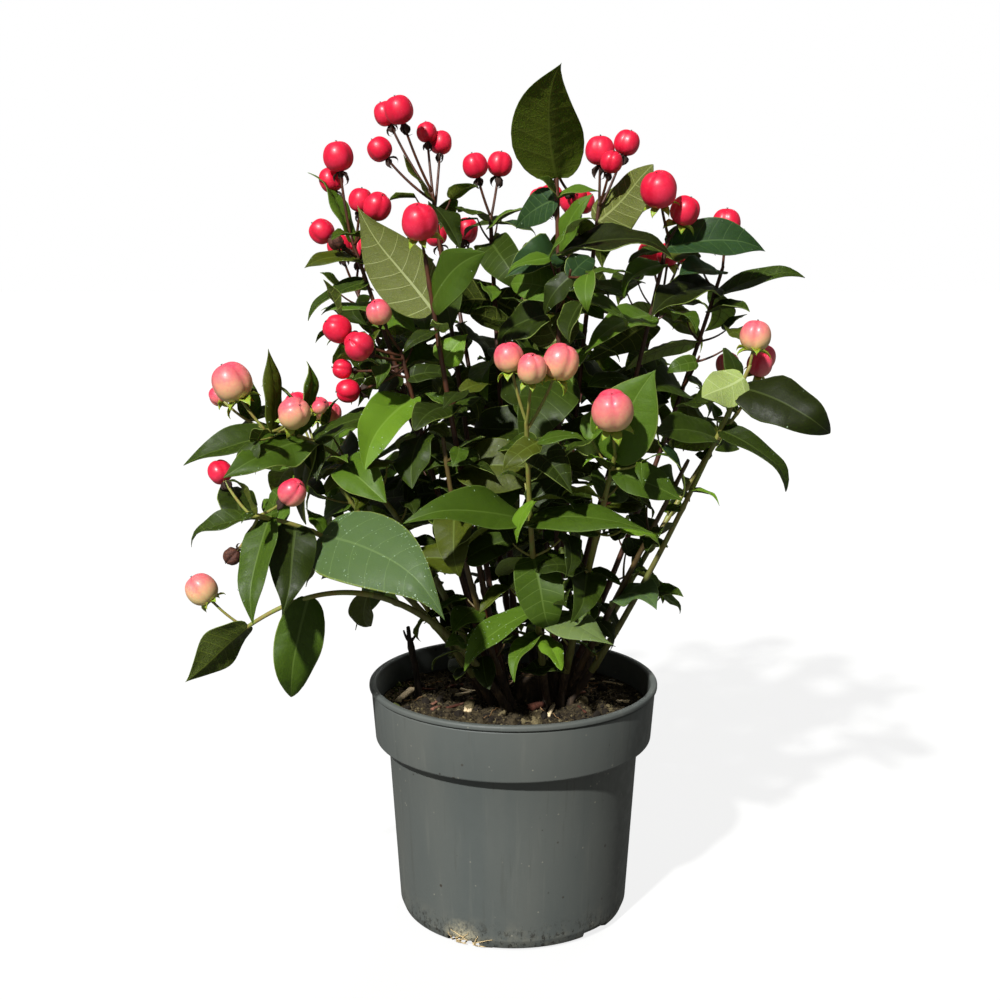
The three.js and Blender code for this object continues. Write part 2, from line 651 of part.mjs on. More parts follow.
// The pot runs up its outside, over the rim and down its inside, and each drain notch opens a corner
function potSolid() {
  const lipFoot = POT_HEIGHT - LIP_HEIGHT;
  const outside = [
    [0, 0], [BASE_RADIUS, 0], [mix(BASE_RADIUS, BODY_FOOT_RADIUS, 0.64), CORNER_HEIGHT / 4],
    [BODY_FOOT_RADIUS, CORNER_HEIGHT],
    [BODY_TOP_RADIUS, BAND_FOOT], [BAND_RADIUS - EDGE, BAND_FOOT], [BAND_RADIUS, BAND_FOOT + EDGE],
    [RIM_RADIUS - GROOVE_DEPTH + EDGE, lipFoot - EDGE], [RIM_RADIUS - GROOVE_DEPTH, lipFoot],
    [RIM_RADIUS, lipFoot + EDGE / 2], [RIM_RADIUS, POT_HEIGHT - EDGE], [RIM_RADIUS - EDGE, POT_HEIGHT],
  ];
  const inside = [
    [BAND_INNER + 2 * EDGE, POT_HEIGHT], [BAND_INNER + EDGE, POT_HEIGHT - EDGE],
    [BAND_INNER, BAND_FOOT + WALL], [BODY_TOP_RADIUS - WALL, BAND_FOOT],
    [BODY_FOOT_RADIUS - WALL, CORNER_HEIGHT], [BASE_RADIUS - EDGE, FLOOR], [0, FLOOR],
  ];
  let solid = toSolid(turned([...outside, ...inside], POT_SIDES));
  for (let i = 0; i < DRAIN_COUNT; i += 1) {
    const notch = new THREE.BoxGeometry(2 * DRAIN_DEPTH, DRAIN_WIDTH, 2 * DRAIN_HEIGHT);
    notch.translate(BODY_FOOT_RADIUS, 0, 0);
    notch.rotateZ(degrees(FIRST_DRAIN_DEG + i * 360 / DRAIN_COUNT));
    solid = solid.subtract(toSolid(shaped(notch, (vertex) => vertex)));
  }
  return solid;
}

// The peat follows the pot's inside, clear of it, up to its own surface
function soilGeometry() {
  const inBody = (z) => [bodyRadius(z) - WALL - GAP, z];
  return turned([
    [0, FLOOR + GAP], [BASE_RADIUS - 2 * EDGE, FLOOR + GAP], inBody(CORNER_HEIGHT + 2),
    inBody(BAND_FOOT - 2), [BODY_TOP_RADIUS - 2 * WALL, BAND_FOOT + WALL],
    [BAND_INNER - 2 * GAP, BAND_FOOT + 2 * WALL], [BAND_INNER - GAP, soilLevel(BAND_INNER)],
    [SOIL_FLAT, SOIL_TOP], [0, SOIL_TOP],
  ], POT_SIDES);
}

// The old woody foot flares out where it meets the peat among the canes, and is cut off flat on top
function stockGeometry() {
  const foot = SOIL_TOP + GAP;
  return turned([
    [0, foot], [STOCK_FLARE, foot], [STOCK_RADIUS, foot + STOCK_HEIGHT / 3],
    [STOCK_RADIUS - EDGE, foot + STOCK_HEIGHT - 2 * EDGE], [STOCK_RADIUS / 2, foot + STOCK_HEIGHT],
    [0, foot + STOCK_HEIGHT],
  ], STOCK_SIDES).translate(...STOCK_PLACE, 0);
}

// Curves first, so that every leaf and twig knows all the limbs and berries
for (const shoot of SHOOTS) {
  const foot = vector([...shoot.foot, SOIL_TOP + GAP]);
  shoot.curve = new THREE.QuadraticBezierCurve3(foot, vector(shoot.bend), vector(shoot.head));
  shoot.sprayFrom = shoot.leafy + GAP / shoot.curve.getLength();
  Object.assign(shoot, { leafList: [], twigList: [], fruitList: [] });
  keepLimb(shoot.curve, 0, 1);
}
SHOOTS.forEach((shoot, index) => growFruit(shoot, seeded(101 + index)));
for (const shoot of SHOOTS) {
  for (const [share, tip, width, look, arch] of shoot.leaves) {
    const root = onLimb(shoot.curve, shoot.sprayFrom, 1, STEM_STEPS, share);
    keepLeaf(shoot, leafToTip(root, vector(tip), width, vector(look), arch));
  }
}
SHOOTS.forEach((shoot, index) => {
  const random = seeded(7001 + 17 * index);
  const stem = {
    curve: shoot.curve, from: shoot.sprayFrom, leafyFrom: shoot.leafy, leafyTo: 1, steps: STEM_STEPS,
  };
  growPairs(shoot, stem, shoot.pairs, shoot.leaf, shoot.turn, random);
  for (let i = 0; i < shoot.twigs; i += 1) growTwig(shoot, i, random);
});

const plant = new THREE.Group();
plant.add(mesh('pot', toGeometry(potSolid()), potPlastic));
plant.add(mesh('soil', soilGeometry(), peat));
plant.add(mesh('stock', stockGeometry(), bark));
const stubLevel = soilLevel(Math.hypot(...STUB_FOOT) - STUB_RADII[0]) + GAP;
const stubCurve = new THREE.LineCurve3(vector([...STUB_FOOT, stubLevel]), vector(STUB_TOP));
plant.add(mesh('dead_stub', limb(stubCurve, 0, 1, STUB_RADII, CANE_SIDES, 2, true), deadWood));
for (const shoot of SHOOTS) {
  const cane = limb(shoot.curve, 0, shoot.leafy, CANE_RADII, CANE_SIDES, CANE_STEPS, true);
  plant.add(mesh(`${shoot.name}_cane`, cane, caneSkin));
  plant.add(mesh(`${shoot.name}_spray`, toGeometry(spraySolid(shoot)), foliage));
}

export default plant;
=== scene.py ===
import functools
import math

import bpy
import numpy as np
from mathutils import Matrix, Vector, noise


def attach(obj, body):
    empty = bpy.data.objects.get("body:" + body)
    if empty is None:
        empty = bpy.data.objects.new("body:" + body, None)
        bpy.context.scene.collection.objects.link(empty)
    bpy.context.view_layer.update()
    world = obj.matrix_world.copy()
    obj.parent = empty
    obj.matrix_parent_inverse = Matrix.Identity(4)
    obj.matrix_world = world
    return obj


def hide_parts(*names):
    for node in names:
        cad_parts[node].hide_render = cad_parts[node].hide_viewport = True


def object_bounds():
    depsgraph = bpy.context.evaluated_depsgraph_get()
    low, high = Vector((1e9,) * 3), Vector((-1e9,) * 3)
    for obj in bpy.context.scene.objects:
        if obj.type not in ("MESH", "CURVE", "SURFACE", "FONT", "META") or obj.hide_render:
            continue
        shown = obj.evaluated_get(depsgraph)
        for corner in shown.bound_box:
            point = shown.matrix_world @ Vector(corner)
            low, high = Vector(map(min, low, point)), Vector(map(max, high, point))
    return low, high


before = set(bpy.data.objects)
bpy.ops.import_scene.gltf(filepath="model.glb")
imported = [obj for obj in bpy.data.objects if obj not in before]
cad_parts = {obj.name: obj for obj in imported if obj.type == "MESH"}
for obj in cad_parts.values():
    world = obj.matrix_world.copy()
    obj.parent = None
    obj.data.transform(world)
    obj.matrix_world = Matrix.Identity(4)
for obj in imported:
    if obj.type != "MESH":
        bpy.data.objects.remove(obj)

CAD_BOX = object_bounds()

# Looks of a berrying shrub in a nursery pot. Sizes are in millimetres, and meshes are made in metres.
MM = 0.001
TURN = 2 * math.pi

# The camera that took the picture: its place, its tilt down and its focal length in pixels
PICTURE_SIDE = 1000
PICTURE_MIDDLE = PICTURE_SIDE / 2
CAMERA_PLACE = np.array([-6.9, -743.0, 364.0])
CAMERA_TILT = math.radians(11.06)
CAMERA_FORWARD = np.array([0, math.cos(CAMERA_TILT), -math.sin(CAMERA_TILT)])
CAMERA_UP = np.array([0, math.sin(CAMERA_TILT), math.cos(CAMERA_TILT)])
FOCAL_PIXELS = 1482.0
SENSOR_WIDTH = 36.0

# Each light: its side from the front, its height, its strength and its spread, with angles in degrees
LIGHTS = {"key": (-28, 41, 5.2, 2.4), "back": (160, 22, 2.0, 30)}
FILL_STRENGTH = 0.16
FLOOR_SIDE = 12
FLOOR_COLOUR = (100, 100, 98)
FLOOR_GLOW = 0.83
WHITE = (1, 1, 1, 1)

# Pot and peat, as in the part's source
POT_HEIGHT = 124
RIM_RADIUS = 75
BAND_RADIUS = 72
BAND_FOOT = 94
BAND_INNER = 70.6
BODY_TOP_RADIUS = 65.4
BODY_FOOT_RADIUS = 60
BASE_RADIUS = 55
CORNER_HEIGHT = 6
CORNER_RADIUS = 0.64 * BODY_FOOT_RADIUS + (1 - 0.64) * BASE_RADIUS
WALL = 1.8
FLOOR = 2.4
LIP_HEIGHT = 3
GROOVE_DEPTH = 1.9
EDGE = 0.8
DRAIN_COUNT = 5
DRAIN_WIDTH = 18
DRAIN_HEIGHT = 4
DRAIN_DEPTH = 13
DRAIN_EDGE = 1.6
FIRST_DRAIN_DEG = -44
LAST_DRAIN_DEG = FIRST_DRAIN_DEG + (DRAIN_COUNT - 1) * 360 / DRAIN_COUNT
SOIL_TOP = 112
SOIL_FALL = 1.5
SOIL_FLAT = 38
GAP = 0.3
STOCK_RADIUS = 7
STOCK_FLARE = 10
STOCK_HEIGHT = 13
STOCK_PLACE = [8, 2]
STUB_FOOT = [-50, 4]
STUB_TOP = [-54, 2, 151]

# Limbs and the growth rule, as in the part's source
CANE_RADII = [2.3, 1.6]
STEM_RADII = [1.6, 1.1]
TWIG_RADIUS = 1.0
STALK_RADIUS = 0.75
STALK_START = 1
STALK_SPACING = 2.2
STALK_SAG = 0.12
STEM_STEPS = 5
TWIG_STEPS = 2
LEAF_WIDTH_SHARE = 0.56
LEAF_WIDEST = 0.4224
LEAF_BASE_POWER = 0.42
LEAF_FOLD = math.radians(14)
LEAST_ARCH = 0.05
LIFT_DEG = [-26, 36]
LIFT_STEP = 6
SIZE_SPREAD = [0.86, 0.28]
SHRINK_STEP = 0.09
ARCH_SPREAD = [0.5, 0.8]
LEAF_TRIES = 6
OUTWARD = 1.5
FRONT_PULL = -30
LOWEST_LEAF = POT_HEIGHT + 5
BERRY_SINK = 0.7
TWIG_TURN = 137.5
LEAF_SHARES = [0.15, 0.36, 0.57, 0.78, 0.98]
LEAF_ACROSS = [-0.8, -0.27, 0.27, 0.8]
# How far a leaf or twig stands from its own shoot's leaves, other leaves, limbs and berries, and how
# far from its root its own limb is left out
LEAF_ROOM = (4.5, 6, 5.8, 3, 11)
TWIG_ROOM = (6, 6, 5.8, 3, 11)

LIMB_SPACING = 3

# Finer foliage, which grows on in the joints of the leaves and lower down the canes
FINE_ROOM = (2.6, 2.8, 2.6, 2.0, 9)
FINE_TWIG_ROOM = (2.2, 2.2, 2.2, 2, 9)
FINE_LOWEST = POT_HEIGHT + 4
FINE_TRIES = 3
FINE_TWIG_RADIUS = 0.7
LOW_NODES = (0.12, 0.08)
LOW_SKIPPED = 0.45
HIGH_SKIPPED = 0.15
# Share of a leaf that may lie over sky
SKY_SHARE = 0.3

# A leaf's outline: how fast it widens from its base, and how it draws in to its tip
OUTLINE_BASE = 0.41
OUTLINE_TIP = 0.72
OUTLINE_POINT = 0.14
OUTLINE_WIDEST = max(
    (i / 400) ** OUTLINE_BASE * (1 - i / 400) ** (OUTLINE_TIP + OUTLINE_POINT * (i / 400) ** 2)
    for i in range(401)
)
# A blade's thickness, its midrib and veins, and how deep and thick they are
BLADE_THICKNESS = 0.36
VEIN_HALF = 0.17
RIB_SINK = 0.28
RIB_THICK = 0.42
VEIN_THICK = 0.12
VEIN_SWEEP = 0.2
CURL_START = 0.7
CURL_REACH = 2.2
HOOK_START = 0.55
TWIST_START = 0.3
# For each detail, the shares along a blade of its side veins and the shares across of its columns
DETAILS = {
    "large": ([0.05, 0.15, 0.27, 0.4, 0.54, 0.68], [0.33, 0.66, 0.965, 1.0]),
    "small": ([0.1, 0.32, 0.58], [0.5, 0.95, 1.0]),
    "tiny": ([0.3], [1.0]),
}
LARGE_LEAF = 30
SMALL_LEAF = 15
# How much blades differ: the least and the most of each of their bends
BLADE_SPREAD = {
    "fold": (0.06, 0.42), "roll": (-0.1, 0.28), "wave": (0.07, 0.26), "waves": (0.9, 2.1), "phase": (0, TURN),
    "twist": (-0.7, 0.7), "curl": (-0.25, 1.1), "sickle": (-0.22, 0.22), "belly": (0.82, 1.12),
    "lop": (-0.09, 0.09), "hook": (-0.4, 0.4), "point": (-0.1, 0.5),
}
QUILT_SHARE = 0.012
MOST_SPOTS = 7
SPOT_SIDES = 7

# Leaf colours by tint, then those of the underside, of veins and of rims
LEAF_COLOURS = {
    "deep": (37, 49, 9), "dark": (47, 63, 13), "mid": (60, 82, 19), "fresh": (75, 102, 26),
    "bright": (94, 126, 32), "waxy": (76, 98, 56), "grey": (96, 113, 64), "olive": (66, 75, 16),
    # shade is a darker copy of the top colours, painted shade for leaves that stand in shadow
    "blue": (42, 66, 34), "shade": (29, 36, 5),
}
RIB_LIGHT = (150, 172, 96)
UNDER_COLOURS = {
    # under_shade is a darker copy of the underside colour, painted shade for undersides in shadow
    "under_olive": (90, 99, 30), "under_pale": (148, 164, 94), "under_shade": (62, 73, 18),
    "under_deep": (68, 80, 8), "under_sage": (92, 99, 42),
}
VEIN_COLOURS = {
    "under_vein": (108, 118, 48), "under_net": (168, 182, 120), "leaf_rim": (112, 128, 56),
    "under_sage_net": (126, 134, 74), "under_rib": (80, 92, 20),
}
LEAF_SLOTS = [
    *(f"leaf_{tint}" for tint in LEAF_COLOURS), *(f"rib_{tint}" for tint in LEAF_COLOURS), *UNDER_COLOURS,
    *VEIN_COLOURS, "water_spot",
]
LEAF_GLOW = {"Subsurface_Weight": 0.3, "Subsurface_Scale": 0.0012}
LEAF_GLOW_COLOUR = (0.8, 1.0, 0.15)
DEEP_RATHER = ["deep", "deep", "dark", "dark", "dark", "blue", "olive", "mid", "mid", "fresh"]
FRESH_RATHER = ["deep", "dark", "dark", "mid", "mid", "mid", "fresh", "olive", "bright"]
# under_shade among these puts its painted shade on undersides picked at random
UNDER_CHOICE = ["under_olive", "under_shade", "under_shade", "under_pale"]
# Leaves deep in the crown take darker tints, painted shade where the crown shades them: their tints, and how
# far out and up they go
PAINTED_SHADE_TINTS = ["deep", "deep", "deep", "dark", "dark", "olive", "mid"]
PAINTED_SHADE_REACH = 62
PAINTED_SHADE_TOP = 285

BERRY_RINGS = 20
BERRY_SIDES = 42
BERRY_TALL = 0.99
BERRY_DIMPLE = 0.045
BERRY_LOBES = 3
SUN = [-0.3, -0.1, 1]
SEPAL_COUNT = 5
SEPAL_SHAPE = {
    "fold": 0.35, "roll": 0.0, "wave": 0.1, "waves": 1.0, "sickle": 0.0, "quilt": 0.0, "belly": 1.0,
    "lop": 0.0, "point": 0.5, "spots": 0,
}
# Sepals while green and when dry: the least and most of their lift and length, their width and curl
SEPAL_STATES = {
    "green": ((0.0, 0.5), (0.85, 1.35), 1, 0.6),
    "dry": ((-1.2, -0.1), (0.7, 1.15), 0.7, 1.5),
}

CANE_SPACING = 2.2
TWIG_SPACING = 2.5
CANE_SHRINK = 0.9
CANE_SIDES = 12
CANE_NODES = [0.1, 0.18, 0.27]
NODE_SWELL = 0.32
NODE_REACH = 1.6
WOODY_HEIGHT = 24
BARK_SLOTS = [
    "bark_woody", "cane_red", "cane_green", "cane_brown", "stem_red", "stem_green", "stem_brown",
]

POT_SEGMENTS = 192
SHARP_ANGLE = 38
PEAT_RINGS = 84
PEAT_SEGMENTS = 260
# A low bank of peat: its place and how far it reaches
PEAT_BANK = [-50, -20, 21]
# Each kind of crumb: how many, how often its ball is divided, and the least and most of its size
CRUMBS = [(3000, 0, (0.35, 1.15)), (170, 1, (1.1, 2.9))]
CRUMB_CHOICE = ["peat_dark", "peat_dark", "peat_brown", "peat_brown", "peat_pale"]
MOSS_SIDE = -50
MOSS_EDGE = BAND_INNER - 8
MOSS_CHANCE = 0.7
LITTER_EDGE = BAND_INNER - 4
# Chips and straws that lie on the peat: what they are, the pixels of both ends, width and thickness
LITTER = [
    ("straw", (398, 703), (412, 688), 3.8, 1.6),
    ("straw", (457, 697), (477, 692), 3.0, 1.4),
    ("straw", (487, 662), (495, 670), 1.8, 0.9),
    ("straw", (503, 652), (510, 660), 1.8, 0.9),
    ("straw", (510, 687), (514, 674), 1.8, 0.8),
    ("chip_pink", (500, 689), (505, 686), 2.4, 1.4),
    ("chip_red", (530, 712), (542, 708), 5.0, 3.2),
    ("straw", (548, 718), (554, 704), 2.4, 1.2),
    ("pale", (612, 676), (629, 675), 1.6, 0.7),
    ("chip_pink", (432, 706), (438, 703), 1.8, 1.0),
    ("straw", (560, 694), (566, 690), 1.3, 0.6),
]
BACK_LITTER = 26
BACK_CHOICE = ["straw", "straw", "chip_red", "chip_pink", "peat_brown"]
CHIP_SIDES = 8
CHIP_TURN = 0.39
SOIL_ROOTS = 16
DRAIN_ROOTS = 13
ROOT_STEPS = 9
ROOT_STEP = 2.2
BIT_COLOURS = {
    "peat_dark": (34, 27, 18), "peat_brown": (70, 60, 40), "peat_pale": (118, 106, 74),
    # straw is paler than straw's own colour: partly real, partly painted light as if the sun lit it
    "moss": (104, 112, 52), "straw": (244, 220, 176), "chip_pink": (142, 98, 78),
    "chip_red": (90, 50, 36), "pale": (214, 206, 190), "rootlet": (150, 116, 78),
    "rootlet_pale": (214, 190, 142),
}

# The gaps where the picture shows sky through the crown, or bare peat, in its pixels: column, row and radius
SKY = [
    (708, 532, 29), (734, 474, 26), (643, 616, 21), (706, 574, 28), (739, 507, 17), (244, 338, 24),
    (291, 342, 23), (315, 388, 14), (688, 528, 17), (777, 436, 13), (712, 355, 12), (752, 421, 12),
    (479, 331, 10), (418, 602, 10), (597, 327, 6), (709, 482, 9), (679, 464, 6), (684, 446, 7),
    (404, 380, 8), (643, 591, 10), (586, 545, 6), (468, 581, 7), (460, 308, 6), (434, 356, 6),
    (649, 440, 5), (322, 314, 6), (351, 632, 22), (577, 660, 14), (545, 684, 12), (600, 676, 14),
    (505, 690, 16), (470, 694, 14), (432, 690, 16), (400, 690, 14), (622, 664, 14), (640, 682, 10),
    (592, 560, 8), (614, 545, 7), (655, 495, 7), (668, 480, 7), (660, 560, 9), (399, 611, 16),
    (316, 387, 13), (363, 171, 12), (321, 358, 9), (406, 383, 9), (680, 356, 9), (728, 344, 8),
    (486, 335, 8), (422, 600, 8), (584, 383, 8), (681, 457, 7), (592, 126, 7), (513, 187, 15),
    (451, 172, 10), (468, 312, 6), (435, 356, 6), (431, 631, 7), (617, 566, 7), (609, 493, 6),
    (411, 529, 6), (637, 590, 6), (602, 553, 6), (473, 584, 6), (629, 597, 6), (682, 445, 6), (395, 220, 6),
    (700, 367, 6), (596, 325, 6), (384, 183, 8), (359, 143, 8), (410, 144, 7), (355, 293, 6), (312, 318, 7),
    (702, 487, 6), (260, 369, 10), (265, 612, 11), (203, 545, 18), (762, 427, 12), (796, 444, 16),
    (750, 263, 9), (750, 411, 7), (742, 423, 7), (325, 598, 6), (329, 614, 6), (228, 532, 10),
    (227, 577, 8), (705, 218, 7), (418, 116, 6), (630, 650, 9),
]
# Pixel circles where the picture shows one clean leaf or the bare rim, as (column, row, radius)
CLEAR = [
    (392, 262, 24), (378, 232, 12), (408, 296, 14), (547, 135, 34), (380, 565, 32), (350, 545, 16),
    (415, 590, 14), (625, 195, 14), (632, 415, 18), (386, 427, 16), (408, 660, 14), (425, 652, 10),
    (394, 672, 9),
]
# Where the sun reaches the peat and the clean leaves: a place and a radius for each
SUNLIT = [
    (-32, -36, SOIL_TOP, 24), (-12, -44, SOIL_TOP, 18), (-54, 0, SOIL_TOP, 14), (-58, -27, 339, 18),
    (-61, -91, 207, 24), (53, -73, 272, 18), (-61, -46, 263, 15), (98, -47, 282, 12),
]

# Which leaf piece each shoot's leaves go to
GROUPS = {
    "leaves_front": ["front", "right_front", "inner_left", "inner_right", "tall", "left_inner"],
    "leaves_left": [
        "left_high", "left_middle", "far_left", "low_left", "drooping", "upper_left", "left_skirt",
    ],
    "leaves_right": ["right", "right_high", "right_rear", "upper_right", "right_low", "middle_rear"],
    "leaves_rear": [
        "rear_left_low", "rear_left", "rear_middle", "rear_right", "rear_far_right", "rear_skirt",
    ],
}

# Where each kind of random draw starts: the first three as in the part's source
FRUIT_SEED = 101
GROWTH_SEED = 7001
GROWTH_SEED_STEP = 17
FINE_SEED = 4000
LEAF_SEED = 900
BERRY_SEED = 600
CRUMB_SEED = 31
LITTER_SEED = 57
STUB_SEED = 8

SHOOTS = []
MATERIALS = {}


def shoot(name, foot, bend, head, leafy, growth, skin, sepals, fruit, *leaves):
    """Puts one shoot in the table: its foot on the peat, the point that bends its curve, its head, and
    the share of its length where the leafy spray begins. growth is its leaf pairs, leaf length, the
    first pair's azimuth in degrees and its side twigs. A berry is [x, y, z from the head, diameter,
    ripeness], or only its ripeness where the rule places it. Ripeness goes from 0, cream, to 1,
    crimson, and is None for a dry husk."""
    SHOOTS.append({
        "name": name, "foot": foot, "bend": bend, "head": head, "leafy": leafy, "growth": growth,
        "skin": skin, "sepals": sepals, "fruit": fruit, "leaves": leaves, "index": len(SHOOTS),
        "placed": [], "grown": [], "fine": [], "twigs": [], "twiglets": [], "berries": [],
    })


def leaf(share, tip, width, look, arch, **style):
    """A placed leaf: the share along its shoot, its tip, its width, the way its upper face looks, its
    arch in degrees, and what is its own in tint and bends"""
    return share, tip, width, look, arch, style


LIT_UNDER = {"under": "under_sage", "under_vein": "under_sage_net"}
PALE_UNDER = {"under": "under_pale", "under_vein": "under_net"}

shoot(
    "front", [17.5, -10.6], [8, -42, 190], [5, -80, 271], 0.25, (4, 44, 22, 1), "green", "green",
    [[-8, -4, 29, 13.6, 0.32], [2, -14, 25, 13.6, 0.26], [15, -4, 27, 16.8, 0.26]],
    leaf(0.37, [-25, -64, 152], 17, [-0.3, -0.6, 1], 25, tint="fresh", fold=0.2, spots=60),
    leaf(0.35, [43, -74, 161], 23, [0.3, -0.8, 0.8], 45, tint="grey", fold=0.12),
    leaf(0.27, [22, -56, 146], 12, [0.2, -0.7, 0.8], 30, tint="bright"),
    leaf(0.28, [-4, -58, 146], 11, [-0.2, -0.4, 1], 25, tint="fresh", wave=0.16, waves=1.6),
    leaf(0.68, [-50, -92, 232], 25, [0.1, -0.6, 1], 30, tint="mid", wave=0.2, waves=1.3, spots=14),
    leaf(0.69, [63, -93, 223], 23, [-0.1, -0.5, 1], 38, tint="mid", wave=0.1),
)
shoot(
    "tall", [20.5, -2.2], [24, -22, 250], [20, -20, 383], 0.34, (6, 48, 75, 2), "red", "dry",
    [[11, 30, -12, 11, 0.95], [-7, 22, -13, 11, 0.7]],
    leaf(
        0.985, [18, -66, 429], 35, [0.03, 0.75, 0.66], 25, tint="mid", under="under_deep",
        under_vein="under_rib", twist=-0.8, fold=0.24, wave=0.06, waves=1.5, belly=0.94, hook=0.2, curl=0.0,
        point=0.5, spots=0,
    ),
    # Dark shade tint: painted shade for a leaf in shadow
    leaf(0.855, [77, -30, 348], 24, [0.1, -0.5, 1], 35, tint="shade", rim="leaf_rim"),
    leaf(0.86, [35, -30, 373], 13, [-0.6, -0.5, 0.1], 25, tint="fresh"),
    leaf(0.69, [4, -2, 334], 26, [0.25, 0.9, -0.35], 20, **LIT_UNDER),
    leaf(0.68, [27, -8, 319], 14, [0.3, 0.8, -0.45], 15, **LIT_UNDER),
)
shoot(
    "middle_rear", [3.3, 14.3], [-6, 42, 240], [-12, 50, 362], 0.34, (5, 48, 88, 2), "red", "dry",
    [[-8, -4, 25, 13.4, 1.0], [5, 4, 26, 13.4, 1.0]],
    leaf(0.985, [-30, 28, 365], 19, [-0.2, -0.6, 1], 35, tint="dark"),
    leaf(0.975, [11, 30, 366], 18, [0.3, -0.7, 1], 30, tint="fresh", rim="leaf_rim"),
)
shoot(
    "upper_left", [-3.5, 10], [-24, 30, 240], [-42, 40, 374], 0.36, (5, 48, 0, 2), "red", "dry",
    [
        [-16, -10, 40, 14.8, 1.0], [-24, 5, 39, 12.8, 0.95], [-27, 0, 21, 12.8, 1.0], [-3, 10, 30, 10.8, 1.0],
        [4, 15, 25, 12.5, 0.95],
    ],
    leaf(0.98, [-57, 30, 391], 12, [-0.5, -0.4, 1], 10, tint="olive"),
    leaf(0.97, [-28, 14, 346], 18, [0.6, -0.8, 0.4], 25, tint="deep"),
)
shoot(
    "left_high", [-7.7, 4.4], [-42, 0, 240], [-81, 0, 352], 0.36, (5, 44, 10, 2), "red", "dry",
    [
        [-5, 0, 38, 15, 0.95], [-10, 10, 27, 12.5, 0.95], [15, -15, 14, 13.8, 0.95], [6, -4, 17, 12, 0.9],
        [-14, 0, 2, 12.5, 0.95], [-6, -9, -3, 8, None],
    ],
    leaf(0.95, [-102, -16, 337], 15, [-0.3, -0.6, 0.8], 35, tint="olive"),
    leaf(0.9, [-104, -14, 315], 13, [-0.2, -0.5, 0.9], 25, tint="dark", rim="leaf_rim"),
    leaf(0.84, [-95, -12, 317], 12, [-0.2, -0.6, 0.9], 30, tint="fresh"),
    leaf(0.985, [-98, 8, 385], 13, [0.8, -0.5, 0.2], 20, tint="fresh"),
)
shoot(
    "left_inner", [-2.8, -6.3], [-26, -34, 230], [-42, -40, 343], 0.32, (5, 48, 70, 1), "red", "green",
    [[-2, -10, 16, 17.2, 0.88]],
    leaf(0.885, [-79, -18, 363], 30, [0.15, 0.95, -0.3], 18, **LIT_UNDER, fold=0.05, wave=0.07),
    leaf(0.905, [-14, -62, 347], 26, [0.2, -0.8, 0.6], 30, tint="mid"),
    leaf(0.78, [-23, -34, 307], 16, [0, -0.85, 0.45], 30, tint="bright"),
)
shoot(
    "left_middle", [-7.4, -3.1], [-34, -18, 205], [-55, -25, 298], 0.34, (4, 46, 66, 1), "red", "dry",
    [
        [-9, -15, 19, 12.3, 0.4], [-29, -15, 11, 13.6, 0.95], [-18, -25, 4, 14, 0.85],
        [-28, -5, -9, 9.8, 1.0], [-25, -10, -19, 11.7, 1.0],
    ],
    leaf(0.87, [-73, -66, 248], 23, [-0.2, -1, 0.4], 30, tint="bright", fold=0.35, spots=40),
)
shoot(
    "far_left", [-12, -6.4], [-60, -30, 258], [-118, -50, 262], 0.45, (4, 42, 22, 1), "green", "green",
    [[-15, 0, 23, 19.2, 0.28], [-25, 20, 14, 9.8, 0.5], [17, -20, 11, 15.1, 0.22], [27, -6, 12, 7, 0.4]],
    leaf(0.92, [-156, -60, 247], 19, [-0.1, -0.5, 1], 30, tint="dark"),
    leaf(0.83, [-128, -84, 246], 26, [-0.1, -0.8, 0.7], 25, tint="mid"),
    leaf(0.96, [-117, -46, 300], 15, [0.9, -0.4, 0.2], 25),
    leaf(0.87, [-94, -44, 294], 14, [0.8, -0.5, 0.3], 25),
)
shoot(
    "low_left", [-9.5, -11.4], [-64, -54, 216], [-121, -80, 227], 0.5, (3, 40, 30, 0), "green", "dry",
    [[-17, 20, 17, 11.6, 0.85], [21, -10, 13, 12.8, 0.5], [-9, 0, -19, 8.2, None]],
    leaf(
        0.735, [-29, -112, 194], 40, [0, -0.9, 0.6], 28, tint="waxy", fold=0.08, wave=0.07, waves=1.2,
        curl=0.6, belly=0.84, hook=-0.3, point=0.3, spots=300,
    ),
    leaf(0.97, [-153, -80, 216], 13, [-0.1, -0.4, 1], 35, tint="dark"),
    leaf(0.93, [-121, -104, 183], 18, [-0.4, -0.9, 0.1], 20, tint="mid", spots=10),
    leaf(0.83, [-102, -97, 184], 23, [0.2, -0.9, 0.3], 20, tint="deep"),
)
shoot(
    "drooping", [-2.5, -18.3], [-56, -70, 222], [-130, -54, 166], 0.55, (0, 38, 50, 0), "green", "green",
    [[-20, 0, 20, 15.6, 0.15]],
    leaf(
        # Its underside in under_shade: painted shade
        0.985, [-156, -64, 141], 24, [-0.54, 0.75, 0.32], 30, tint="olive", under="under_shade",
        under_vein="under_rib", rim="leaf_rim", spots=0,
    ),
    leaf(0.78, [-109, -62, 132], 24, [0.1, -0.95, 0.2], 20, tint="mid", fold=0.3, spots=0),
    leaf(0.57, [-73, -34, 160], 13, [-0.2, -1, 0.2], 15, tint="olive"),
)
shoot(
    "right_front", [23.9, -7.9], [38, -34, 200], [46, -72, 254], 0.4, (4, 44, 75, 1), "green", "green",
    [[-3, -18, 23, 19, 0.34]],
    leaf(0.97, [62, -74, 294], 32, [-0.35, -1, 0.15], 20, tint="fresh", fold=0.2, wave=0.06, point=0.3),
    leaf(0.93, [33, -88, 256], 9, [-0.3, -0.5, 1], 30, tint="bright"),
)
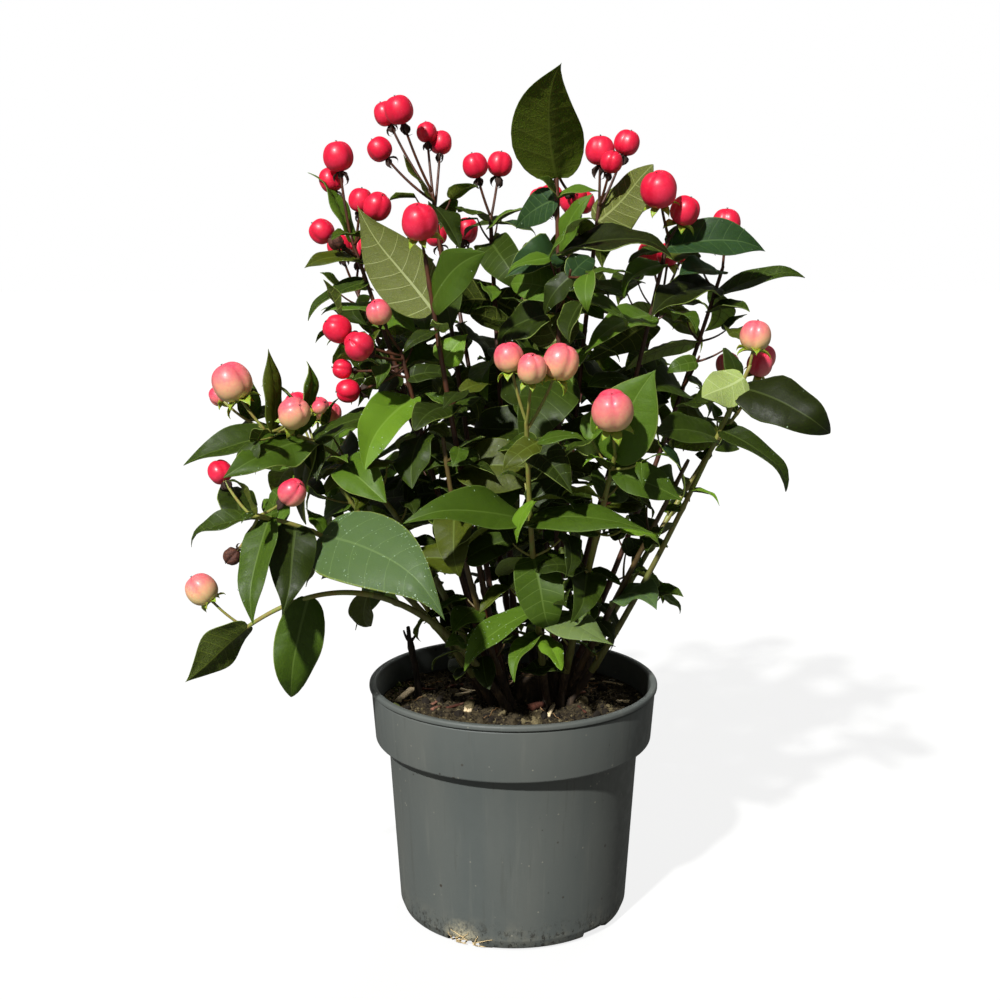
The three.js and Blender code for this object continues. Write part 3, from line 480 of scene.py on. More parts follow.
shoot(
    "right", [29, -5.7], [64, -26, 170], [112, -40, 292], 0.55, (2, 42, 11, 0), "green", "green",
    [[2, 0, 14, 14.9, 0.24]],
    leaf(0.975, [87, -55, 280], 21, [-0.2, 0.75, -0.6], 20, **PALE_UNDER),
    # Dark shade tint: painted shade for a leaf in shadow
    leaf(0.955, [147, -60, 260], 28, [0.3, -0.9, 0.5], 40, tint="shade", curl=1.3, point=-0.1, wave=0.12),
    leaf(0.865, [131, -62, 239], 14, [0.2, -0.7, 0.8], 40, tint="deep", curl=0.9, point=-0.15),
    leaf(0.845, [64, -62, 264], 21, [-0.2, -0.8, 0.7], 35, tint="dark"),
    leaf(0.93, [80, -18, 268], 16, [-0.3, -0.5, 1], 30, tint="deep"),
    leaf(0.725, [98, -50, 230], 7, [0.2, -0.4, 1], 20, tint="bright"),
)
shoot(
    "right_high", [23.3, 4.2], [50, -4, 230], [76, -5, 352], 0.36, (5, 48, 30, 2), "red", "green",
    [[-7, -15, 22, 18, 0.9], [7, -5, 12, 14.6, 0.92]],
    leaf(0.975, [126, 0, 346], 25, [0.1, -0.8, 0.7], 30, tint="blue"),
    leaf(0.84, [30, -54, 300], 21, [-0.1, -0.7, 0.9], 35, tint="fresh", rim="leaf_rim"),
)
shoot(
    "right_rear", [26.1, 9], [72, 14, 220], [107, 22, 336], 0.4, (5, 48, 65, 2), "red", "green",
    [[1, 0, 22, 14.6, 0.95]],
    leaf(0.93, [149, 18, 335], 16, [0.1, -0.4, 1], 30, tint="dark"),
    # Dark shade tint: painted shade for a leaf in shadow
    leaf(0.955, [64, -24, 317], 25, [-0.3, -0.8, 0.7], 30, tint="shade"),
    leaf(0.985, [80, -10, 335], 17, [-0.2, -0.8, 0.8], 30, tint="blue"),
    leaf(0.9, [118, 0, 316], 14, [0.3, -0.7, 0.8], 30, tint="dark", rim="leaf_rim"),
)
shoot(
    "upper_right", [19.5, 10.8], [30, 28, 240], [44, 30, 369], 0.34, (5, 48, 50, 2), "red", "dry",
    [[0, 0, 25, 15.2, 0.9], [5, -12, 19, 11.3, 1.0], [14, 5, 29, 13.3, 0.95]],
    leaf(0.955, [68, 20, 388], 27, [0.5, 0.75, -0.3], 20, **LIT_UNDER, fold=0.12),
)
shoot(
    "inner_left", [-0.2, -12.5], [-26, -40, 185], [-34, -46, 258], 0.28, (4, 44, 77, 2), "brown", "green", [],
    leaf(0.34, [-21, -48, 148], 9, [-0.4, -0.6, 0.8], 20, tint="bright"),
)
shoot(
    "inner_right", [25.9, -0.7], [48, -28, 168], [84, -38, 246], 0.45, (3, 40, 45, 1), "brown", "green", [],
    leaf(0.5, [68, -62, 182], 22, [0.2, -0.9, 0.5], 30, tint="waxy"),
)
shoot(
    "left_skirt", [-14.9, 0.8], [-50, -14, 178], [-84, -38, 232], 0.36, (4, 44, 88, 1), "green", "green", [],
)
shoot(
    "rear_left_low", [-9.4, 11.4], [-66, 36, 220], [-110, 62, 234], 0.4, (5, 48, 20, 2), "green", "green",
    [0.5, 0.6, 0.45],
)
shoot(
    "rear_left", [-4.4, 16.4], [-44, 62, 230], [-88, 92, 322], 0.36, (5, 48, 77, 2), "red", "dry",
    [0.9, 0.95, 0.85],
)
shoot(
    "rear_middle", [3.8, 20.1], [-16, 76, 230], [-34, 116, 330], 0.36, (5, 48, 45, 2), "red", "dry",
    [1.0, 0.9, 0.95],
)
shoot(
    "rear_right", [13.8, 18.9], [20, 74, 240], [30, 108, 346], 0.36, (5, 48, 10, 2), "red", "dry",
    [0.95, 1.0, 0.9, 1.0],
)
shoot(
    "rear_far_right", [21.8, 16], [52, 60, 230], [84, 86, 318], 0.4, (5, 48, 0, 2), "red", "green",
    [0.9, 0.85, 0.95],
)
shoot(
    "right_low", [29.9, 3.3], [76, 30, 200], [126, 56, 262], 0.5, (5, 46, 22, 2), "green", "green",
    [0.5, 0.4, 0.6],
)
shoot(
    "rear_skirt", [10.4, 23.3], [14, 86, 190], [26, 132, 232], 0.4, (4, 46, 0, 2), "green", "green",
    [0.45, 0.55],
)


def seeded(seed):
    """Random numbers in 0 to 1, the same as the source draws"""
    state = [seed]

    def draw():
        state[0] = (state[0] * 1664525 + 1013904223) & 0xFFFFFFFF
        return state[0] / 4294967296

    return draw


def vector(*numbers):
    return np.array(numbers, float)


def unit(direction):
    return direction / np.linalg.norm(direction)


def square_to(axis, direction):
    """The unit vector square to an axis that is nearest to a direction"""
    return unit(direction - direction.dot(axis) * axis)


def across(axis):
    """Two directions across an axis"""
    first = square_to(axis, np.eye(3)[np.abs(axis).argmin()])
    return first, np.cross(axis, first)


def polar(radius, angle, height=0):
    return vector(radius * math.cos(angle), radius * math.sin(angle), height)


def ring_angles(count, start=0.0):
    return np.arange(count) * TURN / count + start


def mix(low, high, share):
    return (1 - share) * low + share * high


def noise_at(points, scale, seed):
    """Smooth noise in about -1 to 1 at each point, with features of the given size"""
    offset = Vector((seed, 2.7 * seed, 1.3 * seed))
    return np.array([noise.noise(Vector(point) / scale + offset) for point in points])


def soil_level(radius):
    """The peat's surface falls a little from its flat middle to the wall"""
    return SOIL_TOP - SOIL_FALL * max(radius - SOIL_FLAT, 0) / (BAND_INNER - SOIL_FLAT)


class Bend:
    """A quadratic curve from its start to its end, pulled towards its knee"""

    def __init__(self, start, knee, end):
        self.start, self.knee, self.end = start, knee, end

    def point(self, share):
        rest = 1 - share
        return rest * rest * self.start + 2 * rest * share * self.knee + share * share * self.end

    def tangent(self, share):
        return unit(self.point(min(share + 1e-4, 1)) - self.point(max(share - 1e-4, 0)))

    def length(self):
        points = np.array([self.point(i / 200) for i in range(201)])
        return float(np.linalg.norm(np.diff(points, axis=0), axis=1).sum())

    def path(self, spacing):
        """Shares along the curve and the points there, about a spacing apart"""
        shares = np.linspace(0, 1, max(int(self.length() / spacing), 3) + 1)
        return shares, np.array([self.point(share) for share in shares])


def on_limb(curve, start, steps, share):
    """The point at a share of a curve, on the straight facets that its solid limb is made of"""
    slot = min(max((share - start) / (1 - start) * steps, 0), steps)
    below = min(int(slot), steps - 1)
    first = curve.point(mix(start, 1, below / steps))
    second = curve.point(mix(start, 1, (below + 1) / steps))
    return first + (second - first) * (slot - below)


def make_leaf(root, heading, face, length, width, arch):
    return {
        "root": root, "heading": heading, "face": face, "length": length, "width": width,
        "arch": max(arch, LEAST_ARCH),
    }


def leaf_to_tip(root, tip, width, look, arch_degrees):
    chord = tip - root
    reach = np.linalg.norm(chord)
    chord = chord / reach
    face = square_to(chord, look)
    half = math.radians(arch_degrees) / 2
    heading = chord * math.cos(half) + face * math.sin(half)
    upper = face * math.cos(half) - chord * math.sin(half)
    return make_leaf(root, heading, upper, reach * half / math.sin(half), width, 2 * half)


def midrib(leaf, share):
    """Places on a leaf's arched midrib, and the directions along it and out of its upper face there"""
    turned = leaf["arch"] * share
    radius = leaf["length"] / leaf["arch"]
    sine, cosine = np.sin(turned)[..., None], np.cos(turned)[..., None]
    heading, face = leaf["heading"], leaf["face"]
    points = leaf["root"] + heading * radius * sine - face * radius * (1 - cosine)
    return points, heading * cosine - face * sine, face * cosine + heading * sine


def leaf_samples(leaf):
    """The places where a leaf is compared with its neighbours"""
    shares, sides = (grid.ravel() for grid in np.meshgrid(LEAF_SHARES, LEAF_ACROSS, indexing="ij"))
    half = leaf["width"] * shares ** LEAF_BASE_POWER * (1 - shares) / LEAF_WIDEST / 2
    points, _, out = midrib(leaf, shares)
    side = np.cross(leaf["face"], leaf["heading"])
    points = points + side * (sides * half * math.cos(LEAF_FOLD))[:, None]
    return points + out * (np.abs(sides) * half * math.sin(LEAF_FOLD))[:, None]


class Crown:
    """What already stands in the crown: points on limbs and leaves, and whole berries"""

    def __init__(self):
        self.limbs = np.zeros((0, 3))
        self.leaves = np.zeros((0, 3))
        self.owners = np.zeros(0, int)
        self.berries = np.zeros((0, 4))

    def keep_limb(self, curve):
        count = math.ceil(curve.length() / LIMB_SPACING)
        self.limbs = np.vstack([self.limbs, [curve.point(i / count) for i in range(count + 1)]])

    def keep_berry(self, centre, radius):
        self.berries = np.vstack([self.berries, [*centre, radius]])

    def keep_leaf(self, leaf, owner):
        samples = leaf_samples(leaf)
        self.leaves = np.vstack([self.leaves, samples])
        self.owners = np.append(self.owners, np.full(len(samples), owner))

    def room(self, samples, root, owner, clear, lowest=LOWEST_LEAF):
        """Whether the samples of a leaf or twig stand clear of all that is kept"""
        kin, other, limb, fruit, own = clear
        if samples[:, 2].min() < lowest:
            return False
        reach = np.linalg.norm(samples - root, axis=1).max()
        near = np.linalg.norm(self.leaves - root, axis=1) < reach + other
        if near.any():
            apart = np.linalg.norm(samples[:, None] - self.leaves[near][None], axis=2).min(axis=0)
            if (apart < np.where(self.owners[near] == owner, kin, other)).any():
                return False
        distance = np.linalg.norm(self.limbs - root, axis=1)
        far = self.limbs[(distance > own) & (distance < reach + limb)]
        if len(far) and np.linalg.norm(samples[:, None] - far[None], axis=2).min() < limb:
            return False
        apart = np.linalg.norm(samples[:, None] - self.berries[None, :, :3], axis=2)
        return not (apart < self.berries[None, :, 3] + fruit).any()


CROWN = Crown()


def grow_leaf(plant, stem, share, azimuth, length, random):
    """Tries a few leaves at one node of a stem, each shorter and steeper, and keeps the first that fits"""
    root = on_limb(stem["curve"], stem["from"], stem["steps"], share)
    tangent = stem["curve"].tangent(share)
    for attempt in range(LEAF_TRIES):
        lift = math.radians(LIFT_DEG[0] + LIFT_DEG[1] * random() + LIFT_STEP * attempt)
        size = length * (SIZE_SPREAD[0] + SIZE_SPREAD[1] * random()) * (1 - SHRINK_STEP * attempt)
        arch = ARCH_SPREAD[0] + ARCH_SPREAD[1] * random()
        away = square_to(tangent, polar(1, azimuth + 0.5 * (random() - 0.5)))
        heading = away * math.cos(lift) + tangent * math.sin(lift)
        outward = unit(vector(root[0], root[1] + FRONT_PULL, 0))
        look = outward * OUTWARD * (0.4 + random()) + tangent * 0.3
        look = look + vector(0.6 * (random() - 0.5), 0.6 * (random() - 0.5), 1)
        grown = make_leaf(root, heading, square_to(heading, look), size, size * LEAF_WIDTH_SHARE, arch)
        if CROWN.room(leaf_samples(grown), root, plant["index"], LEAF_ROOM):
            CROWN.keep_leaf(grown, plant["index"])
            plant["grown"].append({**grown, "root": stem["curve"].point(share)})
            return


def grow_pairs(plant, stem, pairs, length, turn, random):
    """Leaf pairs stand crosswise up a stem, largest in the middle"""
    for pair in range(pairs):
        along = (pair + 0.5) / pairs
        share = mix(*stem["leafy"], along ** 0.9)
        size = length * (0.72 + 0.28 * math.sin(math.pi * min(along + 0.12, 1)))
        stem["nodes"].append(share)
        for half in (0, 1):
            azimuth = math.radians(turn + 90 * pair + 180 * half + 24 * (random() - 0.5))
            grow_leaf(plant, stem, share, azimuth, size, random)


def grow_twig(plant, index, random):
    _, size, turn, twigs = plant["growth"]
    share = mix(plant["leafy"], 1, 0.3 + 0.45 * (index + 0.5 * random()) / twigs)
    root = on_limb(plant["curve"], plant["spray_from"], STEM_STEPS, share)
    tangent = plant["curve"].tangent(share)
    away = square_to(tangent, polar(1, math.radians(turn + 45 + TWIG_TURN * index + 40 * random())))
    length = 26 + 14 * random()
    tip = root + away * length * 0.72 + tangent * length * 0.55
    knee = root + away * length * 0.45 + tangent * length * 0.15
    curve = Bend(root, knee, tip)
    samples = np.array([curve.point(i / 6) for i in range(2, 7)])
    if not CROWN.room(samples, root, plant["index"], TWIG_ROOM):
        return
    CROWN.keep_limb(curve)
    stem = {"curve": curve, "from": 0, "leafy": (0.3, 1.05), "steps": TWIG_STEPS, "nodes": []}
    plant["twigs"].append(stem)
    grow_pairs(plant, stem, 2, size * 0.62, turn + 60 * index, random)


def berry_place(berry, turn, index, random):
    """A berry's offset from the head, its diameter and its ripeness, from the table or by the rule"""
    if isinstance(berry, list):
        return vector(*berry[:3]), berry[3], berry[4]
    spread = mix(9, 13, random())
    rise = mix(20, 28, random())
    return polar(spread, math.radians(turn + TWIG_TURN * index), rise), mix(12.5, 15, random()), berry


def grow_fruit(plant, random):
    """Berries stand over the head, each on a stalk of its own"""
    curve = plant["curve"]
    for index, berry in enumerate(plant["fruit"]):
        offset, size, ripe = berry_place(berry, plant["growth"][2], index, random)
        share = 1 - (STALK_START + STALK_SPACING * index) / curve.length()
        foot = on_limb(curve, plant["spray_from"], STEM_STEPS, share)
        centre = curve.point(1) + offset
        radius = size / 2
        knee = (foot + centre) / 2
        knee[2] -= STALK_SAG * np.linalg.norm(offset)
        axis = unit(centre - knee)
        stalk = Bend(foot, knee, centre - axis * radius * BERRY_SINK)
        plant["berries"].append({
            "centre": centre, "radius": radius, "axis": axis, "stalk": stalk, "ripe": ripe,
        })
        CROWN.keep_berry(centre, radius)
        CROWN.keep_limb(stalk)


def grow_crown():
    """Curves first, so that every leaf and twig knows all the limbs and berries"""
    for plant in SHOOTS:
        foot = vector(*plant["foot"], SOIL_TOP + GAP)
        plant["curve"] = curve = Bend(foot, vector(*plant["bend"]), vector(*plant["head"]))
        plant["spray_from"] = plant["leafy"] + GAP / curve.length()
        CROWN.keep_limb(curve)
    for plant in SHOOTS:
        grow_fruit(plant, seeded(FRUIT_SEED + plant["index"]))
    for plant in SHOOTS:
        for share, tip, width, look, arch, style in plant["leaves"]:
            root = on_limb(plant["curve"], plant["spray_from"], STEM_STEPS, share)
            shape = (vector(*tip), width, vector(*look), arch)
            CROWN.keep_leaf(leaf_to_tip(root, *shape), plant["index"])
            plant["placed"].append({**leaf_to_tip(plant["curve"].point(share), *shape), "style": style})
    for plant in SHOOTS:
        random = seeded(GROWTH_SEED + GROWTH_SEED_STEP * plant["index"])
        pairs, size, turn, twigs = plant["growth"]
        plant["stem"] = {
            "curve": plant["curve"], "from": plant["spray_from"], "leafy": (plant["leafy"], 1),
            "steps": STEM_STEPS, "nodes": [],
        }
        grow_pairs(plant, plant["stem"], pairs, size, turn, random)
        for twig in range(twigs):
            grow_twig(plant, twig, random)


def to_picture(points):
    """Where points fall in the picture, in pixels"""
    offset = points - CAMERA_PLACE
    depth = offset @ CAMERA_FORWARD
    column = PICTURE_MIDDLE + FOCAL_PIXELS * offset[:, 0] / depth
    return np.stack([column, PICTURE_MIDDLE - FOCAL_PIXELS * (offset @ CAMERA_UP) / depth], axis=-1)


def over(samples, circles):
    """Which samples of a leaf lie over which circles of the picture"""
    pixels, places = to_picture(samples), np.array(circles)
    apart = np.hypot(pixels[:, :1] - places[:, 0], pixels[:, 1:] - places[:, 1])
    return apart < places[:, 2]


def shades_sunlit(samples):
    """Whether a leaf would shade a place that the sun reaches"""
    side, height = (math.radians(angle) for angle in LIGHTS["key"][:2])
    slope = vector(math.sin(side), -math.cos(side), 0) / math.tan(height)
    for x, y, z, radius in SUNLIT:
        above = samples[samples[:, 2] > z + 3]
        spots = above - slope * (above[:, 2:] - z)
        if (np.hypot(spots[:, 0] - x, spots[:, 1] - y) < radius).any():
            return True
    return False


def fits(samples, root, owner):
    """Whether a small leaf stands clear, inside the solids' reach, and leaves sky and light as they are"""
    low, high = np.array(CAD_BOX) / MM
    return (
        not over(samples, SKY + CLEAR).any() and not shades_sunlit(samples)
        and CROWN.room(samples, root, owner, FINE_ROOM, FINE_LOWEST)
        and bool((samples > low).all() and (samples < high).all())
    )


def grow_fine_leaf(plant, root, tangent, away, length, random):
    """Keeps one small leaf if one of a few tries stands clear"""
    for attempt in range(FINE_TRIES):
        lift = random.uniform(-0.15, 0.75) + 0.15 * attempt
        size = length * random.uniform(0.8, 1.15) * (1 - 0.15 * attempt)
        heading = unit(away * math.cos(lift) + tangent * math.sin(lift))
        look = vector(random.uniform(-0.4, 0.4), random.uniform(-0.5, 0.3), 1) + away * random.uniform(0, 0.6)
        width = size * random.uniform(0.44, 0.6)
        grown = make_leaf(root, heading, square_to(heading, look), size, width, random.uniform(0.3, 1.1))
        if fits(leaf_samples(grown), root, plant["index"]):
            CROWN.keep_leaf(grown, plant["index"])
            plant["fine"].append(grown)
            return True
    return False


def grow_fine_twig(plant, root, tangent, away, low, random):
    """A short twig with a few small leaves where there is room, and otherwise one small leaf"""
    reach = random.uniform(4, 14) if low else random.uniform(8, 24)
    tip = root + away * reach * 0.7 + tangent * reach * 0.6
    twig = Bend(root, root + away * reach * 0.45 + tangent * reach * 0.2, tip)
    points = np.array([twig.point(i / 4) for i in range(2, 5)])
    grown = 0
    if CROWN.room(points, root, plant["index"], FINE_TWIG_ROOM, FINE_LOWEST):
        size = random.uniform(17, 31)
        side = unit(np.cross(tangent, away))
        for sign in (-1, 1):
            grown += grow_fine_leaf(plant, tip, tangent, unit(side * sign + away * 0.5), size, random)
        ahead = unit(away + side * random.uniform(-0.4, 0.4))
        if grown < 2:
            grown += grow_fine_leaf(plant, tip, tangent, ahead, size * 0.8, random)
    if grown:
        CROWN.keep_limb(twig)
        plant["twiglets"].append(twig)
    else:
        grow_fine_leaf(plant, root, tangent, away, random.uniform(12, 26), random)


def grow_fine(plant):
    """Small leaf pairs in the joints, and down the bare cane"""
    random = np.random.default_rng(FINE_SEED + plant["index"])
    low_nodes = list(np.arange(LOW_NODES[0], plant["leafy"], LOW_NODES[1]))
    stems = [(plant["curve"], plant["stem"]["nodes"] + low_nodes)]
    for stem, nodes in stems + [(twig["curve"], twig["nodes"]) for twig in plant["twigs"]]:
        for share in nodes:
            root, tangent = stem.point(share), stem.tangent(share)
            low = stem is plant["curve"] and share < plant["leafy"]
            turn = random.uniform(0, TURN)
            for half in (0, math.pi):
                if random.uniform(0, 1) < (LOW_SKIPPED if low else HIGH_SKIPPED):
                    continue
                away = square_to(tangent, polar(1, turn + half + random.uniform(-0.3, 0.3)))
                grow_fine_twig(plant, root, tangent, away, low, random)


class Batch:
    """Many small closed meshes collected into one piece, each face with its material slot"""

    def __init__(self, slots):
        self.slots = list(slots)
        self.points, self.values = [], []
        self.faces, self.face_slots = {3: [], 4: []}, {3: [], 4: []}
        self.count = 0

    def add(self, points, faces, value=0.0):
        """faces is [(corner indices as an n by 3 or n by 4 array, slot indices or one slot name)]"""
        for corners, slot in faces:
            if not len(corners):
                continue
            kind = corners.shape[1]
            self.faces[kind].append(corners + self.count)
            index = np.full(len(corners), self.slots.index(slot)) if isinstance(slot, str) else slot
            self.face_slots[kind].append(index)
        self.points.append(np.asarray(points, float))
        self.values.append(np.broadcast_to(np.asarray(value, float), len(points)))
        self.count += len(points)

    def make(self, name, smooth=True, value_name=None):
        """The piece as one object"""
        mesh = bpy.data.meshes.new(name)
        mesh.vertices.add(self.count)
        mesh.vertices.foreach_set("co", (np.vstack(self.points) * MM).astype(np.float32).ravel())
        corners, starts, slots, at = [], [], [], 0
        for kind in (3, 4):
            if self.faces[kind]:
                faces = np.vstack(self.faces[kind])
                corners.append(faces.ravel())
                starts.append(at + kind * np.arange(len(faces)))
                slots.append(np.concatenate(self.face_slots[kind]))
                at += faces.size
        starts, slots = np.concatenate(starts), np.concatenate(slots)
        mesh.loops.add(at)
        mesh.loops.foreach_set("vertex_index", np.concatenate(corners).astype(np.int32))
        mesh.polygons.add(len(starts))
        mesh.polygons.foreach_set("loop_start", starts.astype(np.int32))
        mesh.polygons.foreach_set("material_index", slots.astype(np.int32))
        mesh.polygons.foreach_set("use_smooth", np.full(len(starts), smooth))
        for slot in self.slots:
            mesh.materials.append(MATERIALS[slot])
        if value_name:
            values = mesh.attributes.new(value_name, "FLOAT", "POINT")
            values.data.foreach_set("value", np.concatenate(self.values).astype(np.float32))
        mesh.update(calc_edges=True)
        mesh.validate()
        piece = bpy.data.objects.new(name, mesh)
        bpy.context.scene.collection.objects.link(piece)
        return piece


def place(piece, slot, *nodes):
    """Puts a piece in the shared frame, with the CAD nodes that it stands for"""
    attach(piece, "root")
    if nodes:
        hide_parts(*nodes)


def grid_faces(rows, columns, wrap=False):
    """Quads of a grid of points, facing along the rows' direction crossed with the columns'"""
    steps = np.arange(columns if wrap else columns - 1)
    row, column = np.meshgrid(np.arange(rows - 1) * columns, steps, indexing="ij")
    right = (column + 1) % columns
    corners = (row + column, row + columns + column, row + columns + right, row + right)
    return np.stack(corners, axis=-1).reshape(-1, 4)


def fan(centre, ring, reverse=False):
    """Triangles from one point to a closed ring of points"""
    following = np.roll(ring, -1)
    middle = np.full(len(ring), centre)
    order = (middle, following, ring) if reverse else (middle, ring, following)
    return np.stack(order, axis=-1)


def closed(rings, first, last, downward=False):
    """Points, quads and end caps of a skin of rings with one point at each end"""
    rows, sides = rings.shape[:2]
    quads = grid_faces(rows, sides, wrap=True)
    ring, pole = np.arange(sides), rows * sides
    caps = [fan(pole, ring, not downward), fan(pole + 1, ring + pole - sides, downward)]
    points = np.vstack([rings.reshape(-1, 3), [first, last]])
    return points, quads if downward else quads[:, ::-1], np.vstack(caps)


def tube_frames(points):
    """Two directions across a path at each of its points, which don't twist along it"""
    tangents = np.gradient(points, axis=0)
    tangents /= np.linalg.norm(tangents, axis=1)[:, None]
    sides = [across(tangents[0])[0]]
    for tangent in tangents[1:]:
        sides.append(square_to(tangent, sides[-1]))
    sides = np.array(sides)
    return tangents, sides, np.cross(tangents, sides)


def tube(batch, points, radii, sides, slots, relief=0.0):
    """A closed tube along a path. slots is one slot name, or a slot index for each gap between rings."""
    points, radii = np.asarray(points, float), np.asarray(radii, float)
    tangents, first, second = tube_frames(points)
    angles = ring_angles(sides)[:, None]
    spread = radii[:, None] * (np.ones(sides) + relief)
    circles = first[:, None] * np.cos(angles) + second[:, None] * np.sin(angles)
    ends = [points[0] - tangents[0] * radii[0] * 0.4, points[-1] + tangents[-1] * radii[-1] * 0.4]
    if isinstance(slots, str):
        slots = np.full(len(points) - 1, batch.slots.index(slots))
    points, quads, caps = closed(points[:, None] + spread[..., None] * circles, *ends)
    batch.add(points, [(quads, np.repeat(slots, sides)), (caps, np.repeat([slots[0], slots[-1]], sides))])


def outline(share, belly=1.0, point=0.0):
    """Half the leaf's width, as a share of its whole width, at a share of its length; a belly below 1
    is widest nearer the base, and a point above 0 draws the tip out"""
    share = share ** belly
    drawn = OUTLINE_TIP + (OUTLINE_POINT + point) * share ** 3
    return share ** OUTLINE_BASE * np.maximum(1 - share, 0) ** drawn / OUTLINE_WIDEST / 2


def leaf_rows(length, veins):
    """Shares along the midrib for the rows of a blade, and which gaps between them are side veins"""
    half = min(VEIN_HALF / length, 0.012)
    rows, is_vein = [0.005, 0.014, 0.03], [False, False]
    for vein, following in zip(veins, veins[1:] + [0.8]):
        rows += [vein - half, vein + half, (vein + following) / 2]
        is_vein += [False, True, False]
    return np.array(rows + [0.8, 0.9, 0.96, 0.988]), np.array(is_vein + [False] * 4)


@functools.cache
def leaf_faces(rows, columns):
    """Corner indices for both faces of a blade, its rim and its two pointed ends"""
    under = rows * columns
    root, tip = 2 * under, 2 * under + 1
    top = grid_faces(rows, columns)
    column = np.arange(columns - 1)
    last = (rows - 1) * columns
    row = np.arange(rows - 1) * columns
    edge = row + columns - 1
    left = np.stack((row, row + under, row + columns + under, row + columns), axis=-1)
    right = np.stack((edge, edge + columns, edge + columns + under, edge + under), axis=-1)
    at_root = np.stack((np.full(columns - 1, root), column, column + 1), axis=-1)
    at_tip = np.stack((last + column, np.full(columns - 1, tip), last + column + 1), axis=-1)
    ends = np.vstack([at_root, at_tip])
    return {
        "top": top, "under": (top + under)[:, [0, 3, 2, 1]], "rim": np.vstack([left, right]),
        "top_ends": ends, "under_ends": (ends + np.where(ends >= root, 0, under))[:, ::-1],
        "rim_ends": np.array([
            [root, under, 0], [root, columns - 1, under + columns - 1],
            [last, last + under, tip], [last + columns - 1 + under, last + columns - 1, tip],
        ]),
    }


def twisted(out, side, angle):
    """Both directions across a blade, turned about it"""
    return out * np.cos(angle) - side * np.sin(angle), side * np.cos(angle) + out * np.sin(angle)


def add_leaf(batch, leaf, colours, detail, shape, random):
    """A closed blade with a folded midrib, quilted side veins, a waved edge and a drawn-out tip.

    colours names the slots of its top, under, rib, vein, under vein and rim.
    """
    veins, steps = DETAILS[detail]
    length, width = leaf["length"], leaf["width"]
    shares, is_vein = leaf_rows(length, veins)
    rows, columns = len(shares), 2 * (len(steps) + 1)
    short = min(1, length / 40)

    rib = (0.48 * (1 - shares) + 0.1) * min(width / 18, 1.25)
    inner = np.minimum(rib / (width * outline(shares, shape["belly"], shape["point"])), 0.3)[:, None]
    outer = np.maximum(np.array(steps) * np.ones((rows, 1)), inner + 0.02).clip(max=1)
    right = np.hstack([inner, outer])
    sides = np.hstack([-right[:, ::-1], right])
    size, hand = np.abs(sides), np.sign(sides)
    on_rib = size <= inner + 1e-9
    sweep = VEIN_SWEEP * np.minimum(shares / VEIN_SWEEP, 1) * (1 - shares)
    share = shares[:, None] + sweep[:, None] * size ** 1.15
    fade = np.clip(np.minimum(share / 0.08, (1 - share) / 0.2), 0, 1)

    points, along, out = midrib(leaf, share)
    side = np.cross(leaf["face"], leaf["heading"])
    half = width * outline(share, shape["belly"], shape["point"]) * (1 + shape["lop"] * hand)
    out, across_blade = twisted(out, side, (shape["twist"] * (share - TWIST_START))[..., None])
    lateral = sides * half
    fold = shape["fold"] * (1.1 - 0.5 * share)
    height = np.abs(lateral) * np.sin(fold) - shape["roll"] * half * size ** 2.6
    ripple = TURN * (shape["waves"] * share + 0.27 * hand) + shape["phase"]
    height += shape["wave"] * half * size ** 2 * np.sin(ripple)
    quilt = np.append([False, False], is_vein[:-1] & ~is_vein[1:])[:, None]
    height += shape["quilt"] * quilt * np.clip(1 - size ** 3, 0, 1) * (size > 0.2) * fade
    height -= RIB_SINK * on_rib * fade
    drop = shape["curl"] * length * np.maximum(share - CURL_START, 0) ** 2 * CURL_REACH
    sickle = shape["sickle"] * length * share * (1 - share)
    sickle = sickle + shape["hook"] * length * np.maximum(share - HOOK_START, 0) ** 2
    cordate = -0.022 * length * size ** 2 * np.exp(-share / 0.04) * np.clip(share / 0.012, 0, 1)
    points = points + across_blade * (lateral * np.cos(fold) + sickle)[..., None]
    points += out * (height - drop)[..., None] + along * cordate[..., None]

    thick = BLADE_THICKNESS * min(1, 0.55 + length / 80) * np.ones_like(share)
    thick += RIB_THICK * short * on_rib * (1 - share)
    vein_row = (np.append(is_vein, 0) + np.append(0, is_vein))[:, None]
    thick += VEIN_THICK * vein_row * (size < 0.9) * fade * short
    under = points - out * thick[..., None]
    tip, _, tip_out = midrib(leaf, np.ones(1))
    tip_out, tip_side = twisted(tip_out, side, shape["twist"] * (1 - TWIST_START))
    tip = tip - tip_out * shape["curl"] * length * (1 - CURL_START) ** 2 * CURL_REACH
    tip = tip + tip_side * shape["hook"] * length * (1 - HOOK_START) ** 2
    all_points = np.vstack([points.reshape(-1, 3), under.reshape(-1, 3), leaf["root"], tip])

    slot = {role: batch.slots.index(name) for role, name in colours.items()}
    middle = columns // 2 - 1
    column = np.arange(columns - 1) * np.ones((rows - 1, 1), int)
    at_rib = column == middle
    at_vein = is_vein[:, None] & (np.abs(column - middle) < middle)
    top = np.where(at_rib, slot["rib"], np.where(at_vein, slot["vein"], slot["top"]))
    below = np.where(at_rib | at_vein, slot["under_vein"], slot["under"])
    if columns > 4:
        top = np.where((column == 0) | (column == columns - 2), slot["rim"], top)
    faces = leaf_faces(rows, columns)
    batch.add(all_points, [
        (faces["top"], top.ravel()), (faces["under"], below.ravel()), (faces["rim"], colours["rim"]),
        (faces["top_ends"], colours["top"]), (faces["under_ends"], colours["under"]),
        (faces["rim_ends"], colours["rim"]),
    ])
    for _ in range(shape["spots"]):
        add_spot(batch, points, random)


